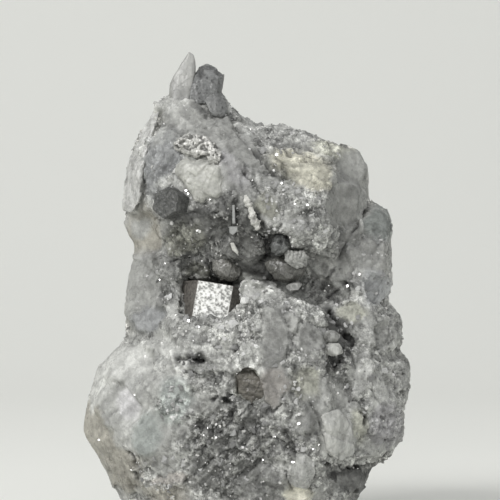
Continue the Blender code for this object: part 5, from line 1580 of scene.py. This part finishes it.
crystal("rim_plate",
        slab_points([(157.5, 105, -0.6, 0.6), (161.5, 106, -1.4, 0.4),
                     (150.5, 117.5, -0.6, 0.6), (156, 121, -2.5, 0.0),
                     (138.5, 138.5, -0.8, 0.5), (147, 147, -4.5, -1.8),
                     (129, 160.5, -0.8, 0.5), (140, 169, -4.9, -2.4),
                     (126.8, 185, -1.0, 0.4), (122.6, 200, -1.0, 0.4),
                     (123.2, 210, -1.0, 0.2), (132, 213, -3.3, -1.4),
                     (138.5, 203, -4.5, -2.6)]),
        PLATE, step=0.13 * MM, soften=2, rough=0.10 * MM, size=1.1 * MM,
        node="rim_plate_crystal", stria=((1, -1, 0.5), 0.6 * MM, 0.07 * MM),
        detail=shaded([(157, 113, 2.5, 7, 0.30), (149, 128, 2.5, 9, 0.35), (133, 158, 4, 12, 0.22),
                       (140, 152, 2, 12, 0.35), (127, 182, 2, 9, 0.25), (133, 190, 2.2, 12, 0.30),
                       (130, 206, 5, 4, 0.25)], 0.10 * MM, 0.7),
        chip=0.22 * MM)
crystal("knob", None, KNOB, step=0.12 * MM, rough=0.05 * MM, size=0.9 * MM,
        chip=0.26 * MM, node="quartz_knob",
        detail=shaded([(179, 172, 3, 14, 0.35), (209, 194, 13, 10, 0.30),
                       (222, 180, 3, 16, 0.40), (200, 161, 24, 4, 0.35),
                       (209, 202, 3, 4, 0.5)], 0.0, 0.8),
        balls=[(190, 172, -9.9, (2.0, 1.4, 1.6)), (203, 171, -10.5, (2.1, 1.4, 1.6)),
               (214, 172, -11.2, (1.5, 1.3, 1.6)), (197, 183, -10.3, (1.9, 1.5, 1.8)),
               (210, 184, -11.1, (1.9, 1.4, 1.9)), (201, 195, -10.6, (1.2, 1.3, 1.2)),
               (214.5, 192, -11.3, (1.1, 1.2, 1.1)), (186, 166, -9.6, (1.2, 1.2, 1.0))])


def pitted(p, normals):
    a = value_noise(p, 0.75 * MM, 111)
    b = value_noise(p, 0.36 * MM, 112)
    pit = smooth(0.0, 0.30, 0.8 * a + 0.5 * b)
    return -0.42 * MM * pit, {"pit": pit}


crystal("silvery_cluster_skin", None, SILVER, step=0.10 * MM,
        rough=0.05 * MM, size=0.5 * MM, chip=0.20 * MM, node="silvery_cluster", detail=pitted,
        balls=[(183, 145, -8.3, (1.4, 1.1, 1.3)), (192, 141, -8.1, (1.5, 1.1, 1.1)),
               (200, 143, -8.9, (1.5, 1.2, 1.2)), (208, 149, -10.0, (1.6, 1.2, 1.5)),
               (214, 157, -11.2, (1.2, 1.0, 1.3)), (201, 152, -10.0, (1.4, 1.0, 1.0)),
               (190, 151, -9.2, (1.0, 0.9, 0.9))])
crystal("vein_blade",
        slab_points([(243.8, 196, -13.5, -11.8), (246.8, 194.5, -13.5, -11.8),
                     (252.0, 206, -13.7, -11.8), (258.0, 220, -14.0, -11.9),
                     (259.2, 227, -13.9, -11.9), (257, 230, -13.7, -11.9),
                     (252.6, 224, -13.9, -11.9), (247.8, 210, -13.7, -11.8)]),
        WHITE, step=0.08 * MM, rough=0.10 * MM, size=0.6 * MM,
        chip=0.22 * MM, node="vein_blade_crystal",
        stria=((0.38, 0, -0.92), 0.30 * MM, 0.16 * MM),
        detail=shaded([(253, 221, 2.2, 7, 0.5), (257.5, 224, 1.2, 5, 0.4),
                       (247, 204, 1.0, 5, 0.3)], 0.10 * MM))
crystal("upright_blade",
        slab_points([(232.2, 205, -13.1, -11.9), (234.8, 205, -13.1, -11.9),
                     (235.2, 223.6, -13.4, -11.9), (232.4, 223.6, -13.4, -11.9)]),
        GREY, step=0.08 * MM, rough=0.02 * MM, node="upright_blade_crystal")
crystal("tablet",
        slab_points([(229.2, 226.6, -12.9, -11.2), (237.4, 226.2, -12.9, -11.2),
                     (237.6, 230.8, -12.9, -11.2), (233, 235, -12.8, -11.2),
                     (229.6, 232.8, -12.8, -11.2)]),
        GREY, step=0.08 * MM, rough=0.02 * MM, node="tablet_crystal")
crystal("small_blade",
        slab_points([(230.4, 243, -11.9, -10.2), (233.6, 242.8, -11.9, -10.2),
                     (238.6, 252, -11.3, -9.6), (237.4, 254.4, -11.2, -9.4),
                     (232.2, 250, -11.4, -9.6)]),
        WHITE, step=0.08 * MM, rough=0.03 * MM, node="small_blade_crystal")
crystal("grain_left",
        grain_points(at(226.5, 270, -6.6), (2.6 * MM, 1.9 * MM, 1.85 * MM),
                     (0.1, 0.45, 0.2), 18, 2, 0.14),
        DUSKY, step=0.10 * MM, soften=2, rough=0.06 * MM, size=1.0 * MM,
        chip=0.34 * MM, node="cavity_grain_left")
crystal("grain_middle",
        grain_points(at(279.5, 244.5, -10.6), (1.35 * MM, 1.5 * MM, 1.45 * MM),
                     (0.3, 0.1, 0.0), 28, 7),
        DARK, step=0.10 * MM, soften=1, rough=0.10 * MM, size=0.7 * MM,
        chip=0.35 * MM, node="cavity_grain_middle")
crystal("grain_right",
        grain_points(at(286, 268.5, -8.6), (3.1 * MM, 2.3 * MM, 2.15 * MM),
                     (0.0, 0.22, 0.1), 18, 4, 0.13),
        SMOKY, step=0.11 * MM, soften=2, rough=0.05 * MM, size=1.4 * MM,
        chip=0.26 * MM, node="cavity_grain_right")
def striped(p, normals):
    """Upright growth bands, every other one a dull groove."""
    u, v, _ = drawing(p)
    wave = np.sin((u + 0.12 * v) / 3.8 * 2 * math.pi + 3.2 * fractal(p, 1.1 * MM, 151, 3))
    faint = smooth(-0.5, 0.4, fractal(p, 0.9 * MM, 152, 2))
    pit = smooth(-0.1, 0.9, wave) * faint
    return -0.08 * MM * pit, {"pit": 0.60 * pit}


crystal("cavity_cap",
        slab_points([(287, 253, -12.0, -8.3), (303, 250.5, -12.3, -8.2),
                     (308, 256, -12.0, -8.0), (305.5, 265, -11.6, -8.3),
                     (297, 267.5, -11.4, -8.4), (286, 262, -11.4, -8.5),
                     (297, 258, -12.6, -8.5)]),
        STRIPED, step=0.09 * MM, soften=1, rough=0.08 * MM, size=0.6 * MM,
        chip=0.28 * MM, node="cavity_cap_crystal", detail=striped)
crystal("cavity_lens",
        slab_points([(285.5, 287, -10.6, -8.4), (290, 284, -10.5, -8.4),
                     (298, 282.5, -10.5, -8.2), (302.4, 284.5, -10.4, -8.2),
                     (298, 290, -11.3, -8.8), (289, 291, -11.2, -8.8)]),
        HAZE, step=0.08 * MM, soften=1, rough=0.05 * MM, size=0.9 * MM,
        chip=0.15 * MM, node="cavity_lens_crystal")
crystal("fissure_upper",
        grain_points(at(330.5, 337, -11.5), (1.6 * MM, 1.2 * MM, 1.1 * MM),
                     (0.0, 0.2, 0.0), 14, 8, 0.16),
        HAZE, step=0.08 * MM, soften=2, rough=0.05 * MM,
        size=0.9 * MM, chip=0.22 * MM, node="fissure_grain_upper")
crystal("fissure_lower",
        grain_points(at(333.5, 349, -12.1), (1.6 * MM, 1.3 * MM, 1.1 * MM),
                     (0.0, 0.25, 0.0), 14, 9, 0.16),
        CLEAR, step=0.08 * MM, soften=2, rough=0.05 * MM,
        size=0.9 * MM, chip=0.22 * MM, node="fissure_grain_lower")
crystal("brown_tablet",
        slab_points([(236, 368, -13.9, -12.0), (252, 364, -14.3, -12.0),
                     (266, 367, -14.6, -12.2), (269, 386, -15.1, -12.2),
                     (266, 402, -14.4, -12.2), (240, 404, -13.6, -12.0),
                     (235, 386, -13.7, -12.0), (250, 385, -14.8, -12.0)]),
        BROWN, step=0.11 * MM, soften=1, rough=0.09 * MM, size=1.0 * MM,
        detail=shaded([(250, 371, 14, 2.2, 0.6), (247, 380, 12, 1.0, 0.35),
                       (253, 388, 11, 1.0, 0.40), (246, 395, 11, 1.4, 0.45),
                       (258, 399, 6, 2.4, 0.45), (236, 384, 2.4, 12, 0.5)], 0.15 * MM),
        chip=0.45 * MM, node="brown_tablet_crystal")
crystal("clear_slab",
        slab_points([(321, 416, -14.6, -12.2), (340, 410, -13.8, -11.4),
                     (351, 424, -13.0, -10.6), (354, 452, -12.2, -10.4),
                     (341, 462, -12.9, -10.8), (328, 452, -14.2, -12.0),
                     (331, 430, -15.0, -12.4)]),
        CLEAR, step=0.12 * MM, soften=3, rough=0.08 * MM, size=1.3 * MM,
        chip=0.40 * MM, node="clear_slab_crystal")
crystal("wedge",
        slab_points([(297, 452.5, -14.0, -12.2), (306.5, 452, -14.2, -12.2),
                     (313, 464, -13.8, -11.4), (314, 474, -13.2, -11.0),
                     (305, 488, -12.9, -10.6), (294, 486, -12.9, -10.2),
                     (287.5, 473, -13.2, -11.0), (303, 463, -15.3, -11.0),
                     (302, 478, -14.6, -11.0)]),
        FACETED, step=0.11 * MM, soften=1, rough=0.03 * MM, size=1.4 * MM,
        chip=0.30 * MM, node="wedge_crystal")


# ---------------------------------------------------------------------------------------
# Small grains and mica flakes on the rock
# ---------------------------------------------------------------------------------------
HALF = Vector((-0.27, -0.887, 0.373)).normalized()
CRUMBS = [
    # column, row, half width, half height, how many, mean radius (mm), albedo
    (214, 322, 36, 9, 70, 0.42, 0.42), (254, 292, 18, 12, 40, 0.45, 0.52),
    (236, 336, 26, 20, 90, 0.42, 0.46), (290, 304, 30, 8, 50, 0.40, 0.40),
    (230, 440, 52, 44, 150, 0.42, 0.24), (180, 404, 22, 24, 60, 0.38, 0.36),
    (290, 200, 34, 22, 90, 0.36, 0.40), (304, 226, 24, 20, 60, 0.38, 0.36),
    (262, 240, 22, 14, 50, 0.40, 0.22), (340, 340, 20, 34, 70, 0.42, 0.28),
    (300, 380, 30, 34, 80, 0.40, 0.36), (372, 330, 24, 30, 60, 0.42, 0.36),
    (196, 366, 22, 16, 50, 0.40, 0.30), (300, 446, 34, 26, 80, 0.42, 0.32),
    (280, 145, 40, 14, 60, 0.36, 0.36), (180, 180, 30, 20, 50, 0.34, 0.36),
    (372, 400, 28, 40, 80, 0.42, 0.36), (366, 264, 26, 34, 60, 0.40, 0.33),
    (170, 474, 34, 18, 60, 0.42, 0.36), (170, 282, 18, 22, 40, 0.34, 0.30),
]
GLINTS = [
    (188.5, 318, 0.36), (300, 422, 0.36), (335, 386, 0.42), (339, 391, 0.24), (331, 382, 0.22),
    (348, 464, 0.26), (315, 449, 0.20), (98, 440, 0.24), (281, 182, 0.22), (309, 207, 0.22),
    (346, 286, 0.30), (184, 189, 0.26), (179, 195, 0.20), (187, 195, 0.20), (134, 205, 0.42),
    (138, 202, 0.26), (378, 454, 0.24), (302, 286, 0.22), (328, 346, 0.20), (134, 396, 0.16),
    (158, 280, 0.16), (214, 438, 0.18), (262, 458, 0.20), (208, 199, 0.18),
]


def scatter():
    """Broken grains and thin mica flakes sitting on the rock, two pieces."""
    rng = np.random.default_rng(11)
    points, normals = ROCK_POINTS, ROCK_NORMALS
    u, v, y = drawing(points)
    facing = (normals[:, 1] < -0.1) & (y < 3.0)

    def spin_to(direction, twist):
        return np.array(Vector(direction).to_track_quat("Z", "Y").to_matrix()
                        @ Matrix.Rotation(twist, 3, "Z"))

    verts, faces, colours = [], [], []

    def solid(corners, place, turn, colour):
        bm = bmesh.new()
        for c in corners:
            bm.verts.new(Vector(turn @ c + place) * 1000.0)
        bmesh.ops.convex_hull(bm, input=bm.verts[:], use_existing_faces=False)
        loose = [w for w in bm.verts if not w.link_faces]
        bmesh.ops.delete(bm, geom=loose, context="VERTS")
        bm.verts.index_update()
        start = len(verts)
        for w in bm.verts:
            verts.append(np.array(w.co) / 1000.0)
            colours.append(colour)
        for f in bm.faces:
            faces.append([start + w.index for w in f.verts])
        bm.free()

    def piece(name, mat):
        obj = mesh_object(name, np.array(verts), list(faces), [mat], np.array(colours),
                          flat=True)
        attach(obj, "root")
        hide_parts("matrix_rock")

    for cu, cv, hw, hh, count, radius, albedo in CRUMBS:
        e = ((u - cu) / hw) ** 2 + ((v - cv) / hh) ** 2
        index = np.flatnonzero(facing & (e < 1.0))
        if len(index) == 0:
            continue
        for i in rng.choice(index, int(count * 0.45)):
            size = 0.8 * radius * MM * math.exp(rng.normal(0.0, 0.42))
            size = min(size, 0.75 * MM)
            box = size * (0.75 + 0.6 * rng.random(3))
            corners = (rng.random((11, 3)) - 0.5) * 2
            corners /= np.maximum(np.linalg.norm(corners, axis=1, keepdims=True), 0.35)
            corners = corners * box
            turn = spin_to(normals[i] + 0.6 * rng.normal(size=3), rng.random() * 6.28)
            tone = albedo * math.exp(rng.normal(0.0, 0.38))
            tone = min(max(tone, 0.05), 0.75)
            solid(corners, points[i] - normals[i] * size * 0.25, turn,
                  tone * np.array((1.0, 1.0, 0.985)))
    piece("loose_grains", GRAIN)

    verts.clear()
    faces.clear()
    colours.clear()
    ring = [np.array((math.cos(a), math.sin(a), 0.0)) for a in
            [math.pi / 3 * k for k in range(6)]]

    def flake(place, direction, radius, tone):
        stretch = 0.65 + 0.5 * rng.random()
        corners = []
        for h in (-1, 1):
            for c in ring:
                corners.append(c * radius * np.array((1.0, stretch, 0.0))
                               + np.array((0, 0, h * 0.03 * MM)))
        solid(corners, place, spin_to(direction, rng.random() * 6.28),
              tone * np.array((1.0, 0.995, 0.97)))

    index = np.flatnonzero((points[:, 2] > 1.0 * MM) & (ROCK_RUGGED > 0.55))
    for i in rng.choice(index, 1700):
        direction = normals[i] + 0.55 * rng.normal(size=3)
        radius = (0.10 + 0.20 * rng.random() ** 2) * MM
        flake(points[i] + normals[i] * 0.05 * MM, direction, radius,
              0.35 + 0.45 * rng.random())
    # glint flakes: turned half way between camera and key light so that they mirror it; their
    # near-white colour is a painted glint on top of the real reflection
    for gu, gv, radius in GLINTS:
        d = np.where(facing, np.hypot(u - gu, v - gv), 1e9)
        near = np.argsort(d)[:12]
        i = near[np.argmin(points[near, 1])]
        place = points[i] + np.array((0.0, -0.22 * MM, 0.0))
        wobble = Vector(rng.normal(size=3) * 0.03)
        flake(place, HALF + wobble, radius * 0.72 * MM, 0.9)
    piece("mica_and_glint_flakes", MICA)


GRAIN = Nodes("loose_grain_skin")
_base = GRAIN.attribute("mineral")
GRAIN.link(GRAIN.scaled(_base, GRAIN.math("ADD", GRAIN.math(
    "MULTIPLY", GRAIN.noise(0.3 * MM, 4.0, 0.65), 0.8), 0.6)), GRAIN.shader.inputs["Base Color"])
GRAIN.link(GRAIN.math("ADD", GRAIN.math("MULTIPLY", GRAIN.noise(0.5 * MM), 0.5), 0.12),
           GRAIN.shader.inputs["Roughness"])
GRAIN.link(GRAIN.bump(GRAIN.noise(0.15 * MM, 4.0, 0.6), 0.03 * MM, 0.7),
           GRAIN.shader.inputs["Normal"])
GRAIN = GRAIN.mat
MICA = Nodes("mica_skin")
MICA.link(MICA.scaled(MICA.attribute("mineral"), MICA.math("ADD", MICA.math(
    "MULTIPLY", MICA.noise(0.2 * MM, 3.0), 0.4), 0.8)), MICA.shader.inputs["Base Color"])
MICA.link(MICA.math("ADD", MICA.math("MULTIPLY", MICA.noise(0.4 * MM), 0.25), 0.08),
          MICA.shader.inputs["Roughness"])
MICA.shader.inputs["Metallic"].default_value = 0.35
MICA.shader.inputs["IOR"].default_value = 1.6
MICA = MICA.mat
scatter()


# ---------------------------------------------------------------------------------------
# Floor, light and camera
# ---------------------------------------------------------------------------------------
def studio():
    mat = bpy.data.materials.new("pale_sweep")
    mat.use_nodes = True
    shader = mat.node_tree.nodes["Principled BSDF"]
    shader.inputs["Base Color"].default_value = (0.84, 0.845, 0.81, 1.0)
    shader.inputs["Roughness"].default_value = 0.9
    def rise(distance, radius, top):
        """A quarter round of that radius, then straight up as far as top."""
        if distance <= 0.0:
            return 0.0
        if distance < radius:
            return min(top, radius - math.sqrt(radius * radius - distance * distance))
        return top

    def stops(start, radius, count=20):
        return [start + radius * math.sin(math.pi / 2 * i / count) for i in range(count + 1)]

    xs = sorted([-x for x in stops(1.0, 0.4)] + [0.0] + stops(1.0, 0.4))
    ys = sorted([-y for y in stops(0.9, 0.4)] + [0.0] + stops(0.30, 0.35))
    bm = bmesh.new()
    grid = []
    for y in ys:
        row = []
        for x in xs:
            z = max(rise(abs(x) - 1.0, 0.4, 0.4), rise(-y - 0.9, 0.4, 0.4),
                    rise(y - 0.30, 0.35, 0.35))
            row.append(bm.verts.new((x, y, z)))
        grid.append(row)
    for low, high in zip(grid[:-1], grid[1:]):
        for i in range(len(xs) - 1):
            bm.faces.new((low[i], low[i + 1], high[i + 1], high[i]))
    top = [bm.verts.new((x, ys[-1], 1.6)) for x in xs]
    for i in range(len(xs) - 1):
        bm.faces.new((grid[-1][i], grid[-1][i + 1], top[i + 1], top[i]))
    mesh = bpy.data.meshes.new("sweep")
    bm.to_mesh(mesh)
    bm.free()
    mesh.shade_smooth()
    mesh.materials.append(mat)
    sweep = bpy.data.objects.new("sweep", mesh)
    bpy.context.scene.collection.objects.link(sweep)

    def panel(name, place, size, watts, colour=(1, 1, 1)):
        light = bpy.data.lights.new(name, "AREA")
        light.shape = "RECTANGLE"
        light.size, light.size_y = size
        light.energy = watts
        light.color = colour
        obj = bpy.data.objects.new(name, light)
        bpy.context.scene.collection.objects.link(obj)
        obj.location = place
        aim = Vector((0, 0, 0.038)) - Vector(place)
        obj.rotation_euler = aim.to_track_quat("-Z", "Y").to_euler()

    panel("key", (-0.42, -0.50, 0.62), (0.36, 0.36), 4.6, (1.0, 0.995, 0.985))
    panel("window", (-0.030, -0.60, 0.20), (0.16, 0.12), 0.45)
    panel("fill", (0.60, -0.35, 0.30), (0.50, 0.50), 0.5)
    panel("back", (0.1, 0.20, 1.0), (0.8, 0.5), 1.4)
    world = bpy.data.worlds.new("room")
    world.use_nodes = True
    world.node_tree.nodes["Background"].inputs["Color"].default_value = (0.97, 0.98, 1.0, 1)
    world.node_tree.nodes["Background"].inputs["Strength"].default_value = 0.36
    bpy.context.scene.world = world
    bpy.context.scene.view_settings.view_transform = "Standard"

    camera = bpy.data.cameras.new("camera")
    camera.sensor_width = 36.0
    camera.lens = 36.0 * EYE / (500 * GRID)
    camera.clip_start = 0.01
    camera.clip_end = 10.0
    obj = bpy.data.objects.new("camera", camera)
    bpy.context.scene.collection.objects.link(obj)
    obj.location = (SHIFT[0], -EYE + SHIFT[1], EYE_Z + SHIFT[2])
    obj.rotation_euler = (math.pi / 2, 0.0, 0.0)
    bpy.context.scene.camera = obj


studio()
